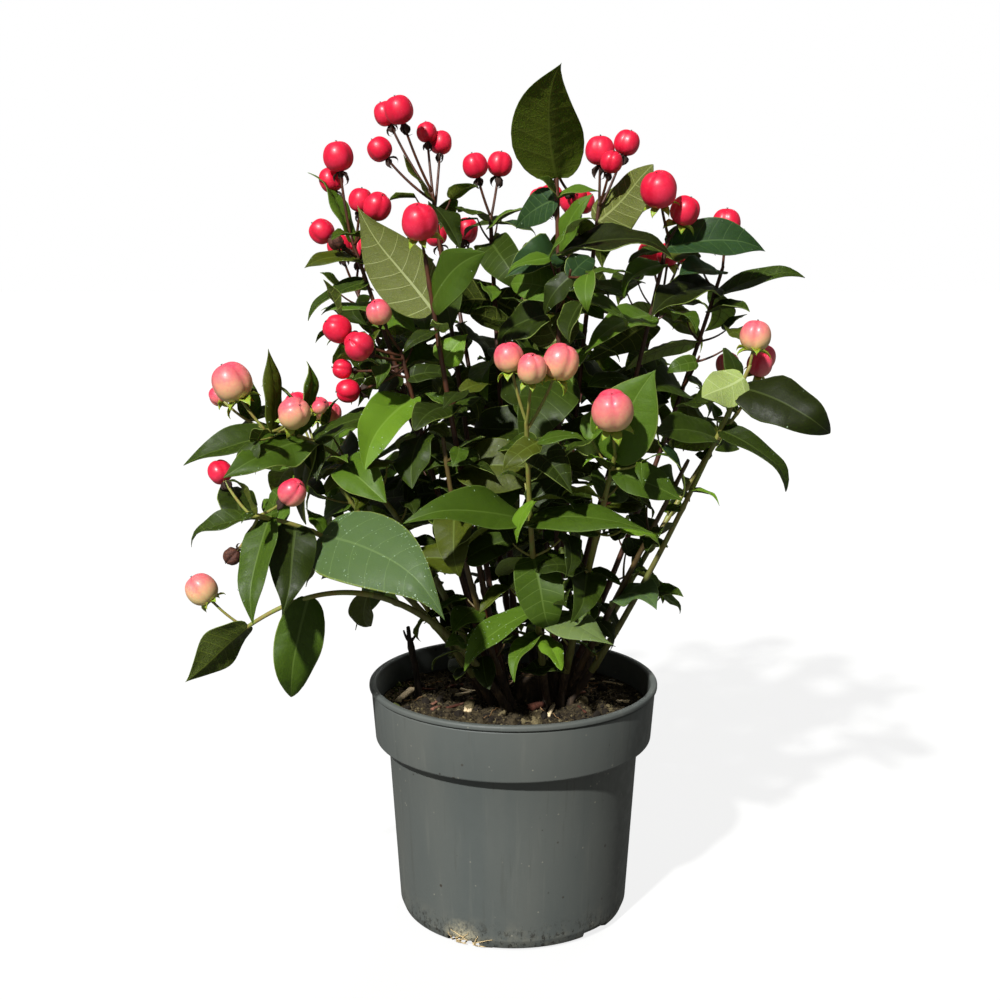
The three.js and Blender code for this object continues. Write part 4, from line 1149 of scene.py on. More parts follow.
def add_spot(batch, grid, random):
    """A dried water spot: a low pale lens on the top of a blade, thickest near its edge"""
    rows, columns = grid.shape[:2]
    row = random.integers(2, rows - 3)
    edges = [0, 1, columns - 3, columns - 2]
    column = int(random.choice(edges)) if random.uniform(0, 1) < 0.6 else random.integers(columns - 1)
    corner, along, beside = grid[row, column], grid[row + 1, column], grid[row, column + 1]
    far = mix(beside, grid[row + 1, column + 1], 0.5)
    centre = mix(mix(corner, along, random.uniform(0.1, 0.9)), far, random.uniform(0.1, 0.9))
    normal = np.cross(along - corner, beside - corner)
    if np.linalg.norm(normal) < 1e-6:
        return
    normal, first = unit(normal), unit(along - corner)
    radius = 0.16 + 0.34 * random.uniform(0, 1) ** 2
    angles = ring_angles(SPOT_SIDES)[:, None]
    reach = radius * random.uniform(0.75, 1.2, SPOT_SIDES)[:, None]
    around = first * np.cos(angles) + np.cross(normal, first) * np.sin(angles)
    ring = centre + reach * around - normal * 0.02
    points, _, caps = closed(ring[None], centre + normal * 0.12, centre - normal * 0.15, downward=True)
    batch.add(points, [(caps, "water_spot")])


def leaf_colours(tint, style, random):
    under = style.get("under", str(random.choice(UNDER_CHOICE)))
    plain_rim = f"rib_{tint}" if random.uniform(0, 1) < 0.7 else "leaf_rim"
    side_vein = f"rib_{tint}" if random.uniform(0, 1) < 0.3 else f"leaf_{tint}"
    return {
        "top": f"leaf_{tint}", "rib": f"rib_{tint}", "vein": side_vein, "under": under,
        "under_vein": style.get("under_vein", "under_vein"), "rim": style.get("rim", plain_rim),
    }


def add_leaves(batches):
    """Every leaf of the growth rule, each with its tint, which goes by the shoot and by chance, and darker
    deep in the crown as painted shade
    """
    group_of = {name: group for group, names in GROUPS.items() for name in names}
    for plant in SHOOTS:
        random = np.random.default_rng(LEAF_SEED + plant["index"])
        batch = batches[group_of[plant["name"]]]
        palette = FRESH_RATHER if plant["skin"] == "green" else DEEP_RATHER
        for index, blade in enumerate(plant["placed"] + plant["grown"] + plant["fine"]):
            style, length, root = blade.get("style", {}), blade["length"], blade["root"]
            shape = {name: random.uniform(*ends) for name, ends in BLADE_SPREAD.items()}
            shape.update(quilt=QUILT_SHARE * length, spots=int(random.integers(0, MOST_SPOTS)))
            grown = index >= len(plant["placed"])
            if grown and over(leaf_samples(blade), SKY).any(axis=1).mean() > SKY_SHARE:
                continue
            # Leaves deep in the crown take darker tints: painted shade
            near = math.hypot(*root[:2]) < PAINTED_SHADE_REACH and root[2] < PAINTED_SHADE_TOP
            tint = str(random.choice(PAINTED_SHADE_TINTS if near and not style else palette))
            shape.update({name: value for name, value in style.items() if name in shape})
            detail = "large" if length > LARGE_LEAF else "small" if length > SMALL_LEAF else "tiny"
            colours = leaf_colours(style.get("tint", tint), style, random)
            add_leaf(batch, blade, colours, detail, shape, random)


def add_berry(batch, berry, random):
    """A fleshy capsule of three low lobes, blushed where the sun reaches it and deeper in colour in its
    grooves as painted shade, or a dry husk
    """
    axis, centre, radius, ripe = (berry[name] for name in ("axis", "centre", "radius", "ripe"))
    first, second = across(axis)
    dry = ripe is None
    polar_angle = np.linspace(0, math.pi, BERRY_RINGS + 1)[1:-1][:, None]
    rise, flat = np.cos(polar_angle), np.sin(polar_angle)
    angle = ring_angles(BERRY_SIDES)[None, :]
    depth = 0.3 if dry else random.uniform(0.09, 0.17)
    start = random.uniform(0, TURN)
    groove = 0
    for lobe in range(BERRY_LOBES):
        apart = (angle - start - lobe * TURN / BERRY_LOBES + math.pi) % TURN - math.pi
        groove = groove + np.exp(-(np.abs(apart) / 0.26) ** 1.3)
    girth = flat ** 0.82 * (1 - depth * groove * flat ** 0.4) * (1 - 0.05 * rise)
    height = rise * BERRY_TALL * (1 - 0.8 * depth * groove * rise.clip(min=0) ** 2)
    height = height - BERRY_DIMPLE * np.exp(-(polar_angle / 0.55) ** 2)
    rings = centre + radius * (
        (girth * np.cos(angle))[..., None] * first + (girth * np.sin(angle))[..., None] * second
        + height[..., None] * axis
    )
    top = centre + axis * radius * (BERRY_TALL - BERRY_DIMPLE - 0.004)
    points, quads, caps = closed(rings, top, centre - axis * radius * BERRY_TALL, downward=True)
    if dry:
        rough = 1 + 0.1 * noise_at(points, radius * 0.5, start)
        points = centre + (points - centre) * rough[:, None]
    slot = "husk" if dry else "berry"
    sunny = (points - centre) @ unit(vector(*SUN)) / radius
    groove_painted_shade = np.append(np.broadcast_to(groove, rings.shape[:2]).ravel(), [1, 0])
    blush = ripe or 0.0
    # More blush in the grooves and at the top pole: painted shade, a darker colour there
    blush += (0.44 - 0.3 * blush) * sunny + 0.1 * groove_painted_shade + 0.05 * noise_at(points, radius * 0.7, start)
    batch.add(points, [(quads, slot), (caps, slot)], np.clip(blush, 0, 1))


def add_sepals(batch, berry, state, random):
    """Five small leaves under a berry, spread or bent back"""
    axis, radius = berry["axis"], berry["radius"]
    lifts, sizes, slim, curl = SEPAL_STATES[state]
    first, second = across(axis)
    root = berry["centre"] - axis * radius * 0.98
    start = random.uniform(0, TURN)
    colours = dict.fromkeys(("top", "rib", "vein", "under", "under_vein", "rim"), f"sepal_{state}")
    for index in range(SEPAL_COUNT):
        angle = start + index * TURN / SEPAL_COUNT + random.uniform(-0.2, 0.2)
        away = first * math.cos(angle) + second * math.sin(angle)
        lift = random.uniform(*lifts)
        heading = unit(away * math.cos(lift) + axis * math.sin(lift))
        size = radius * random.uniform(*sizes)
        width = size * random.uniform(0.5, 0.75) * slim
        sepal = make_leaf(root + away * 0.5, heading, square_to(heading, axis), size, width, 1.1)
        bends = {
            "phase": start, "twist": random.uniform(-0.6, 0.6), "curl": curl,
            "hook": random.uniform(-0.5, 0.5),
        }
        add_leaf(batch, sepal, colours, "tiny", {**SEPAL_SHAPE, **bends}, random)


def add_style(batch, berry, random):
    """The dry remains of the flower's styles on the berry's tip"""
    axis = berry["axis"]
    first, second = across(axis)
    top = berry["centre"] + axis * berry["radius"] * (BERRY_TALL - BERRY_DIMPLE - 0.05)
    for index in range(3):
        angle = index * 2.1 + random.uniform(0, 1)
        lean = (first * math.cos(angle) + second * math.sin(angle)) * 0.45
        points = [top, top + axis * 0.5 + lean * 0.5, top + axis * 0.9 + lean * random.uniform(0.6, 1.3)]
        tube(batch, points, [0.22, 0.17, 0.1], 5, "style")


def add_limb(batch, plant):
    """A cane and its stem as one limb with bark relief, woody at its foot and swollen at its nodes"""
    curve, leafy, skin = plant["curve"], plant["leafy"], plant["skin"]
    shares, points = curve.path(CANE_SPACING)
    points[0, 2] -= 2.5
    cane = mix(*CANE_RADII, np.clip(shares / leafy, 0, 1))
    stem = mix(0, STEM_RADII[0] - STEM_RADII[1], np.clip((shares - leafy) / (1 - leafy), 0, 1))
    radii = (cane - stem) * CANE_SHRINK
    for node in plant["stem"]["nodes"] + CANE_NODES:
        radii += NODE_SWELL * np.exp(-((shares - node) * curve.length() / NODE_REACH) ** 2)
    radii[:3] += [0.9, 0.5, 0.2]
    radii[-1] *= 0.8
    woody = np.clip(1.3 - (points[:, 2] - SOIL_TOP) / WOODY_HEIGHT, 0, 1)
    relief = np.zeros((len(points), CANE_SIDES))
    for row, point in enumerate(points):
        for column, angle in enumerate(ring_angles(CANE_SIDES)):
            spot = Vector(polar(3, angle, point[2] / 7 + 9 * plant["index"]))
            relief[row, column] = noise.noise(spot) * (0.05 + 0.24 * woody[row])
    ridges = 0.05 * np.cos(2 * ring_angles(CANE_SIDES)) * (1 - woody[:, None])
    slots = np.full(len(points) - 1, batch.slots.index(f"cane_{skin}"))
    slots[shares[:-1] > leafy] = batch.slots.index(f"stem_{skin}")
    slots[woody[:-1] > 0.5] = batch.slots.index("bark_woody")
    tube(batch, points, radii, CANE_SIDES, slots, relief + ridges)


def add_twigs(batch, plant):
    """A shoot's side twigs, its fine twigs and the stalks of its berries"""
    slot = f"stem_{plant['skin']}"
    twigs = [(twig["curve"], TWIG_RADIUS, 0.55, 8) for twig in plant["twigs"]]
    twigs += [(curve, FINE_TWIG_RADIUS, 0.4, 6) for curve in plant["twiglets"]]
    for curve, thick, thin, sides in twigs:
        _, points = curve.path(TWIG_SPACING)
        tube(batch, points, np.linspace(thick, thin, len(points)), sides, slot)
    for berry in plant["berries"]:
        _, points = berry["stalk"].path(CANE_SPACING)
        radii = np.linspace(STALK_RADIUS, 0.62, len(points))
        radii[-2:] = [0.85, 1.25]
        tube(batch, points, radii, 8, slot)


def make_plant():
    grow_crown()
    for plant in SHOOTS:
        grow_fine(plant)
    batches = {group: Batch(LEAF_SLOTS) for group in GROUPS}
    add_leaves(batches)
    for group, batch in batches.items():
        place(batch.make(group), "foliage", *[f"{name}_spray" for name in GROUPS[group]])
    limbs, twigs = Batch(BARK_SLOTS), Batch(BARK_SLOTS)
    berries, sepals, styles = Batch(["berry", "husk"]), Batch(["sepal_green", "sepal_dry"]), Batch(["style"])
    for plant in SHOOTS:
        add_limb(limbs, plant)
        add_twigs(twigs, plant)
        random = np.random.default_rng(BERRY_SEED + plant["index"])
        for berry in plant["berries"]:
            add_berry(berries, berry, random)
            add_sepals(sepals, berry, "dry" if berry["ripe"] is None else plant["sepals"], random)
            add_style(styles, berry, random)
    place(limbs.make("canes"), "canes", *[f"{plant['name']}_cane" for plant in SHOOTS])
    place(twigs.make("twigs"), "foliage")
    place(berries.make("berries", value_name="blush"), "berries")
    place(sepals.make("sepals"), "foliage")
    place(styles.make("styles"), "berries")


def lathe(profile, segments):
    """Points, faces and caps of a closed outline of [radius, height] turned about the upright axis"""
    angles = ring_angles(segments)
    rings = np.array([[polar(radius, angle, z) for angle in angles] for radius, z in profile if radius > 0])
    return closed(rings, vector(0, 0, profile[0][1]), vector(0, 0, profile[-1][1]))


def body_radius(z):
    return mix(BODY_FOOT_RADIUS, BODY_TOP_RADIUS, (z - CORNER_HEIGHT) / (BAND_FOOT - CORNER_HEIGHT))


def rounded(profile, radius, steps=3):
    """The outline with each of its sharp corners rounded over"""
    made = [profile[0]]
    for corners in zip(profile, profile[1:], profile[2:]):
        before, corner, after = (np.array(one, float) for one in corners)
        reach = min(radius, 0.4 * np.linalg.norm(before - corner), 0.4 * np.linalg.norm(after - corner))
        arc = Bend(corner + unit(before - corner) * reach, corner, corner + unit(after - corner) * reach)
        made += [arc.point(i / steps) for i in range(steps + 1)]
    return made + [profile[-1]]


def drain_cutter(index):
    """A rounded block that cuts one drain notch"""
    bpy.ops.mesh.primitive_cube_add(size=1)
    cutter = bpy.context.object
    angle = math.radians(FIRST_DRAIN_DEG + index * 360 / DRAIN_COUNT)
    cutter.scale = (2 * DRAIN_DEPTH * MM, DRAIN_WIDTH * MM, 2 * DRAIN_HEIGHT * MM)
    cutter.rotation_euler = (0, 0, angle)
    cutter.location = polar(BODY_FOOT_RADIUS * MM, angle)
    bevel = cutter.modifiers.new("rounded", "BEVEL")
    bevel.width = DRAIN_EDGE * MM
    bevel.segments = 3
    return cutter


def make_pot():
    """The pot turned from its profile, with a notch cut for each drain"""
    lip_foot = POT_HEIGHT - LIP_HEIGHT
    groove = RIM_RADIUS - GROOVE_DEPTH
    outside = [
        [0, 0], [BASE_RADIUS, 0], [CORNER_RADIUS, CORNER_HEIGHT / 4], [BODY_FOOT_RADIUS, CORNER_HEIGHT],
        [body_radius(30), 30], [body_radius(60), 60], [BODY_TOP_RADIUS, BAND_FOOT],
        [BAND_RADIUS - EDGE, BAND_FOOT], [BAND_RADIUS, BAND_FOOT + EDGE], [groove + EDGE, lip_foot - EDGE],
        [groove, lip_foot], [RIM_RADIUS, lip_foot + EDGE / 2], [RIM_RADIUS, POT_HEIGHT - EDGE],
        [RIM_RADIUS - EDGE, POT_HEIGHT],
    ]
    inside = [
        [BAND_INNER + 2 * EDGE, POT_HEIGHT], [BAND_INNER + EDGE, POT_HEIGHT - EDGE],
        [BAND_INNER, BAND_FOOT + WALL], [BODY_TOP_RADIUS - WALL, BAND_FOOT],
        [BODY_FOOT_RADIUS - WALL, CORNER_HEIGHT], [BASE_RADIUS - EDGE, FLOOR], [0, FLOOR],
    ]
    batch = Batch(["pot"])
    points, quads, caps = lathe(rounded(outside + inside, 0.5), POT_SEGMENTS)
    batch.add(points, [(quads, "pot"), (caps, "pot")])
    pot = batch.make("pot_shell")
    cutters = [drain_cutter(index) for index in range(DRAIN_COUNT)]
    for cutter in cutters:
        cut = pot.modifiers.new("drain", "BOOLEAN")
        cut.operation = "DIFFERENCE"
        cut.solver = "EXACT"
        cut.object = cutter
    bpy.context.view_layer.update()
    evaluated = pot.evaluated_get(bpy.context.evaluated_depsgraph_get())
    cut_mesh = bpy.data.meshes.new_from_object(evaluated)
    pot.modifiers.clear()
    pot.data = cut_mesh
    cut_mesh.name = "pot_shell"
    for polygon in cut_mesh.polygons:
        polygon.use_smooth = True
        polygon.material_index = 0
    cut_mesh.set_sharp_from_angle(angle=math.radians(SHARP_ANGLE))
    for cutter in cutters:
        bpy.data.objects.remove(cutter)
    place(pot, "pot", "pot")


def peat_height(x, y):
    """The crumbled surface of the peat"""
    radius = math.hypot(x, y)
    spot = Vector((x, y, 3.0))
    rough = 1.3 * noise.noise(spot / 13) + 0.9 * noise.noise(spot / 5.2) + 0.55 * noise.noise(spot / 2.1)
    heap = 2.2 * math.exp(-(radius / 20) ** 2)
    heap += 2.6 * math.exp(-(math.hypot(x - PEAT_BANK[0], y - PEAT_BANK[1]) / PEAT_BANK[2]) ** 2)
    rough *= min(1, 0.25 + (BAND_INNER - radius) / 8)
    return soil_level(min(radius, BAND_INNER)) + rough + heap - 0.4


def make_peat():
    """Peat with a crumbled top that fills the pot"""
    angles = ring_angles(PEAT_SEGMENTS)
    low, high = CORNER_HEIGHT + 2, BAND_FOOT - 2
    lower = [
        [BASE_RADIUS - 2 * EDGE, FLOOR + GAP], [body_radius(low) - WALL - GAP, low],
        [body_radius(high) - WALL - GAP, high], [BODY_TOP_RADIUS - 2 * WALL, BAND_FOOT + WALL],
        [BAND_INNER - 2 * GAP, BAND_FOOT + 2 * WALL],
    ]
    rings = [[polar(radius, angle, z) for angle in angles] for radius, z in lower]
    for ring in range(PEAT_RINGS):
        radius = (BAND_INNER - GAP) * (1 - ring / PEAT_RINGS) ** 0.9
        rings.append([resting(polar(radius, angle)) for angle in angles])
    points, quads, caps = closed(np.array(rings), vector(0, 0, FLOOR + GAP), resting([0, 0]))
    batch = Batch(["peat"])
    batch.add(points, [(quads, "peat"), (caps, "peat")])
    place(batch.make("peat"), "soil", "soil")


def ball(subdivisions):
    """Points and triangles of a unit ball"""
    golden = (1 + 5 ** 0.5) / 2
    points = [
        [-1, golden, 0], [1, golden, 0], [-1, -golden, 0], [1, -golden, 0], [0, -1, golden], [0, 1, golden],
        [0, -1, -golden], [0, 1, -golden], [golden, 0, -1], [golden, 0, 1], [-golden, 0, -1], [-golden, 0, 1],
    ]
    points = [unit(vector(*point)) for point in points]
    faces = [
        (0, 11, 5), (0, 5, 1), (0, 1, 7), (0, 7, 10), (0, 10, 11), (1, 5, 9), (5, 11, 4), (11, 10, 2),
        (10, 7, 6), (7, 1, 8), (3, 9, 4), (3, 4, 2), (3, 2, 6), (3, 6, 8), (3, 8, 9), (4, 9, 5), (2, 4, 11),
        (6, 2, 10), (8, 6, 7), (9, 8, 1),
    ]
    for _ in range(subdivisions):
        halves, finer = {}, []
        for a, b, c in faces:
            middle = []
            for pair in ((a, b), (b, c), (c, a)):
                key = tuple(sorted(pair))
                if key not in halves:
                    halves[key] = len(points)
                    points.append(unit((points[pair[0]] + points[pair[1]]) / 2))
                middle.append(halves[key])
            ab, bc, ca = middle
            finer += [(a, ab, ca), (b, bc, ab), (c, ca, bc), (ab, bc, ca)]
        faces = finer
    return np.array(points), np.array(faces)


def turned_axes(random):
    """Three random directions square to each other"""
    first = unit(random.normal(size=3))
    second = square_to(first, random.normal(size=3))
    return np.array([first, second, np.cross(first, second)])


def resting(spot, lift=0.0):
    """A place on the peat, or a little over it"""
    return vector(spot[0], spot[1], peat_height(spot[0], spot[1]) + lift)


def make_crumbs():
    """Loose crumbs and lumps of peat on the surface, half sunk in it"""
    batch = Batch(["peat_dark", "peat_brown", "peat_pale", "moss"])
    random = np.random.default_rng(CRUMB_SEED)
    for count, subdivisions, sizes in CRUMBS:
        points, faces = ball(subdivisions)
        for _ in range(count):
            radius = (BAND_INNER - 2.5) * math.sqrt(random.uniform(0, 1))
            spot = polar(radius, random.uniform(0, TURN))
            size = mix(*sizes, random.uniform(0, 1) ** 2)
            stretch = random.uniform(0.55, 1.3, 3) * size
            crumb = points * random.uniform(0.78, 1.15, (len(points), 1)) * stretch @ turned_axes(random)
            slot = str(random.choice(CRUMB_CHOICE))
            if spot[0] < MOSS_SIDE and radius > MOSS_EDGE and random.uniform(0, 1) < MOSS_CHANCE:
                slot = "moss"
            batch.add(crumb + resting(spot, 0.25 * size), [(faces, slot)])
    place(batch.make("peat_crumbs", smooth=False), "soil")


def on_soil(column, row):
    """The place on the peat that shows at a pixel of the picture"""
    ray = (
        vector(1, 0, 0) * (column - PICTURE_MIDDLE) / FOCAL_PIXELS
        + CAMERA_UP * (PICTURE_MIDDLE - row) / FOCAL_PIXELS + CAMERA_FORWARD
    )
    spot = CAMERA_PLACE + ray * (SOIL_TOP - CAMERA_PLACE[2]) / ray[2]
    return spot * min(1, LITTER_EDGE / math.hypot(spot[0], spot[1]))


def add_chip(batch, slot, start, end, width, thickness, random):
    """A splinter lying on the peat: a flattened bar with a rough outline"""
    middle = (start + end) / 2 + random.uniform(-0.4, 0.4, 3)
    points = np.array([start, mix(start, middle, 0.5), middle, mix(middle, end, 0.5), end])
    rings = []
    for point, tangent in zip(points, tube_frames(points)[0]):
        beside = unit(np.cross(vector(0, 0, 1), tangent))
        above = np.cross(tangent, beside)
        for angle in ring_angles(CHIP_SIDES, CHIP_TURN):
            rough = random.uniform(0.88, 1.06)
            wide, high = (math.copysign(abs(part) ** 0.5, part) for part in polar(1, angle)[:2])
            rings.append(point + (beside * wide * width + above * high * thickness) * rough / 2)
    points, quads, caps = closed(np.reshape(rings, (len(points), CHIP_SIDES, 3)), points[0], points[-1])
    batch.add(points, [(quads, slot), (caps, slot)])


def add_soil_root(batch, random):
    """A fine root that wanders over the peat"""
    spot = polar(random.uniform(15, 60), random.uniform(0, TURN))
    points, heading = [], random.uniform(0, TURN)
    for _ in range(ROOT_STEPS):
        points.append(resting(spot, random.uniform(0.2, 1.0)))
        heading += random.uniform(-0.5, 0.6)
        spot = spot + polar(ROOT_STEP, heading)
        if math.hypot(spot[0], spot[1]) > LITTER_EDGE:
            spot[:2] *= 0.93
    tube(batch, points, np.linspace(0.35, 0.15, len(points)), 5, "rootlet")


def add_drain_root(batch, random):
    """A fine root that came out of one drain hole and lies on the foot of the pot"""
    angle, height = math.radians(LAST_DRAIN_DEG + random.uniform(-7, 7)), random.uniform(1.4, 3.2)
    turn, climb = random.uniform(-0.035, 0.035), random.uniform(-0.25, 0.9)
    heights = [0, CORNER_HEIGHT / 4, CORNER_HEIGHT, BAND_FOOT]
    radii = [BASE_RADIUS, CORNER_RADIUS, BODY_FOOT_RADIUS, BODY_TOP_RADIUS]
    points = []
    for step in range(ROOT_STEPS):
        reach = np.interp(height, heights, radii) + 0.35 if step else BODY_FOOT_RADIUS - WALL - 2
        points.append(polar(reach, angle, height))
        angle += turn + random.uniform(-0.012, 0.012)
        height = max(0.5, height + climb + random.uniform(-0.4, 0.4))
    tube(batch, points, np.linspace(0.42, 0.14, len(points)), 5, "rootlet_pale")


def make_litter():
    """Chips, straws and fine roots: those that the picture shows, and others behind"""
    batch = Batch(["straw", "chip_pink", "chip_red", "pale", "peat_brown", "rootlet", "rootlet_pale"])
    random = np.random.default_rng(LITTER_SEED)
    for slot, start, end, width, thickness in LITTER:
        ends = [resting(on_soil(*pixel), thickness * 0.6) for pixel in (start, end)]
        add_chip(batch, slot, *ends, width, thickness, random)
    for _ in range(BACK_LITTER):
        spot = polar(random.uniform(24, 62), random.uniform(-0.6, math.pi + 0.9))
        turn, length = random.uniform(0, math.pi), random.uniform(4, 12)
        slot = str(random.choice(BACK_CHOICE))
        ends = [resting(spot + polar(reach, turn), 0.5) for reach in (-length / 2, length / 2)]
        add_chip(batch, slot, *ends, random.uniform(1.2, 2.6), random.uniform(0.6, 1.4), random)
    for _ in range(SOIL_ROOTS):
        add_soil_root(batch, random)
    for _ in range(DRAIN_ROOTS):
        add_drain_root(batch, random)
    place(batch.make("peat_litter"), "soil")


def make_stock():
    """The old woody foot: a knobbly stump, flared at the peat and cut off on top"""
    foot = SOIL_TOP - 1.5
    top = foot + STOCK_HEIGHT
    profile = [
        [0, foot], [STOCK_FLARE, foot], [STOCK_FLARE - 1.2, foot + 2.6], [STOCK_RADIUS + 0.3, foot + 6],
        [STOCK_RADIUS, foot + 10], [STOCK_RADIUS - EDGE, top], [STOCK_RADIUS - 2.5, top + 1],
        [STOCK_RADIUS / 2, top + 1.2], [0, top + 1],
    ]
    points, quads, caps = lathe(rounded(profile, 1.0, 4), 64)
    angle = np.arctan2(points[:, 1], points[:, 0])
    ring = np.stack([8 * np.cos(angle), 8 * np.sin(angle), points[:, 2] / 6], axis=-1)
    bulge = 0.16 * noise_at(ring, 3.6, 4) + 0.09 * noise_at(ring, 1.3, 9)
    points[:, :2] = points[:, :2] * (1 + bulge)[:, None] + STOCK_PLACE
    batch = Batch(["bark_woody", "wood_cut"])
    batch.add(points, [(quads, "bark_woody"), (caps, "wood_cut")])
    place(batch.make("woody_foot"), "bark", "stock")


def make_stub():
    """The dead stub, forked and broken off at its top"""
    batch = Batch(["dead"])
    foot = vector(*STUB_FOOT, soil_level(math.hypot(*STUB_FOOT)) - 2)
    shares = np.linspace(0, 1, 16)
    points = np.array([mix(foot, vector(*STUB_TOP), share) for share in shares])
    points[:, 0] += 0.9 * np.sin(shares * 5)
    points[:, 1] += 0.7 * np.sin(shares * 7 + 1)
    radii = np.interp(shares, [0, 0.35, 0.6, 0.72, 0.85, 1], [2.3, 1.7, 1.5, 1.9, 1.3, 0.9])
    relief = np.random.default_rng(STUB_SEED).uniform(-0.16, 0.16, (16, 9))
    tube(batch, points, radii, 9, "dead", relief)
    joint = points[12]
    for side, rise in ((-1, 6.5), (1, 4.5)):
        fork = Bend(joint, joint + vector(side * 2.2, 0, 2), joint + vector(side * 3.2, side, rise))
        forks = [fork.point(share) for share in np.linspace(0, 1, 6)]
        tube(batch, forks, np.linspace(1.0, 0.5, 6), 7, "dead")
    place(batch.make("dead_stub_bark"), "dead_wood", "dead_stub")


def linear(colour):
    """A display colour of 0 to 255 as the linear one that shaders take"""
    shares = [part / 255 for part in colour]
    return *(part / 12.92 if part <= 0.04045 else ((part + 0.055) / 1.055) ** 2.4 for part in shares), 1


class Shader:
    """A Principled material with short ways to add the nodes that vary it.

    rough is (noise size, least, most), and bump is (noise size, detail, strength, depth).
    """

    def __init__(self, name, colour, roughness, rough=None, bump=None, **sockets):
        self.material = MATERIALS[name] = bpy.data.materials.new(name)
        self.material.use_nodes = True
        self.tree = self.material.node_tree
        self.principled = self.tree.nodes["Principled BSDF"]
        self.place = self.node("ShaderNodeTexCoord").outputs["Object"]
        sockets.update(Base_Color=linear(colour), Roughness=roughness)
        for socket, value in sockets.items():
            self.principled.inputs[socket.replace("_", " ")].default_value = value
        if rough:
            self.rough(self.noise(rough[0]), *rough[1:])
        if bump:
            self.bump(self.noise(*bump[:2]), *bump[2:])

    def link(self, source, node, socket):
        self.tree.links.new(source, node.inputs[socket])

    def node(self, kind, inputs=None, **settings):
        node = self.tree.nodes.new(kind)
        for name, value in settings.items():
            setattr(node, name, value)
        for socket, value in (inputs or {}).items():
            if isinstance(value, bpy.types.NodeSocket):
                self.link(value, node, socket)
            else:
                node.inputs[socket].default_value = value
        return node

    def noise(self, size, detail=3.0, rough=0.55, stretch=None):
        """Noise whose features are about size millimetres across"""
        source = self.place
        if stretch:
            mapping = self.node("ShaderNodeMapping", {"Scale": stretch, "Vector": source})
            source = mapping.outputs["Vector"]
        inputs = {"Scale": 1 / (size * MM), "Detail": detail, "Roughness": rough, "Vector": source}
        return self.node("ShaderNodeTexNoise", inputs).outputs["Fac"]

    def cells(self, size, feature="DISTANCE_TO_EDGE"):
        inputs = {"Scale": 1 / (size * MM), "Vector": self.place}
        return self.node("ShaderNodeTexVoronoi", inputs, feature=feature).outputs["Distance"]

    def spread(self, value, low, high, to_low, to_high):
        inputs = {"Value": value, "From Min": low, "From Max": high, "To Min": to_low, "To Max": to_high}
        return self.node("ShaderNodeMapRange", inputs).outputs["Result"]

    def ramp(self, value, stops):
        """stops is [(position, display colour)]"""
        node = self.node("ShaderNodeValToRGB", {"Fac": value})
        elements = node.color_ramp.elements
        while len(elements) < len(stops):
            elements.new(0.5)
        for element, (position, colour) in zip(elements, stops):
            element.position = position
            element.color = linear(colour)
        return node.outputs["Color"]

    def blend(self, share, first, second):
        """first where share is 0 and second where it is 1; each is a socket or a display colour"""
        node = self.node("ShaderNodeMix", {"Factor": share}, data_type="RGBA")
        for socket, colour in (("A", first), ("B", second)):
            target = [one for one in node.inputs if one.name == socket and one.type == "RGBA"][0]
            if isinstance(colour, tuple):
                target.default_value = linear(colour)
            else:
                self.tree.links.new(colour, target)
        return [one for one in node.outputs if one.type == "RGBA"][0]

    def maths(self, operation, first, second):
        return self.node("ShaderNodeMath", {0: first, 1: second}, operation=operation).outputs["Value"]

    def colour(self, source):
        self.link(source, self.principled, "Base Color")

    def rough(self, value, low, high):
        self.link(self.spread(value, 0.3, 0.7, low, high), self.principled, "Roughness")

    def bump(self, height, strength, depth):
        """Relief of about depth millimetres"""
        node = self.node("ShaderNodeBump", {"Strength": strength, "Distance": depth * MM, "Height": height})
        self.link(node.outputs["Normal"], self.principled, "Normal")


def grained(name, colour, roughness, grain, stops, bump, rough=None, **sockets):
    """A material whose colour, relief and roughness all go by one noise.

    grain is the noise, stops is [(position, display colour)], bump is (strength, depth), and rough is
    (least, most).
    """
    shader = Shader(name, colour, roughness, **sockets)
    value = shader.noise(*grain)
    if len(stops) == 2:
        (low, first), (high, second) = stops
        shader.colour(shader.blend(shader.spread(value, low, high, 0, 1), first, second))
    else:
        shader.colour(shader.ramp(value, stops))
    shader.bump(value, *bump)
    if rough:
        shader.rough(value, *rough)


def leaf_materials():
    glow = {**LEAF_GLOW, "Subsurface_Radius": LEAF_GLOW_COLOUR}
    for tint, colour in LEAF_COLOURS.items():
        Shader(
            f"leaf_{tint}", colour, 0.45, (3.5, 0.4, 0.6), (0.9, 4, 0.4, 0.28), Specular_IOR_Level=0.16,
            **glow,
        )
        paler = tuple(int(mix(part, light, 0.2)) for part, light in zip(colour, RIB_LIGHT))
        Shader(f"rib_{tint}", paler, 0.5, None, (0.6, 2, 0.2, 0.2), Specular_IOR_Level=0.25)
    for name, colour in UNDER_COLOURS.items():
        under = Shader(name, colour, 0.62, (2.5, 0.55, 0.72), Specular_IOR_Level=0.24, **glow)
        coarse = under.spread(under.cells(2.3), 0.0, 0.14, 1.0, 0.0)
        fine = under.spread(under.cells(0.9), 0.0, 0.16, 0.5, 0.0)
        under.bump(under.maths("ADD", coarse, fine), 0.5, 0.22)
    for name, colour in VEIN_COLOURS.items():
        Shader(name, colour, 0.55, None, (0.5, 2, 0.2, 0.2), Specular_IOR_Level=0.35)
    Shader("water_spot", (150, 174, 138), 0.35, None, (0.3, 2, 0.3, 0.1))


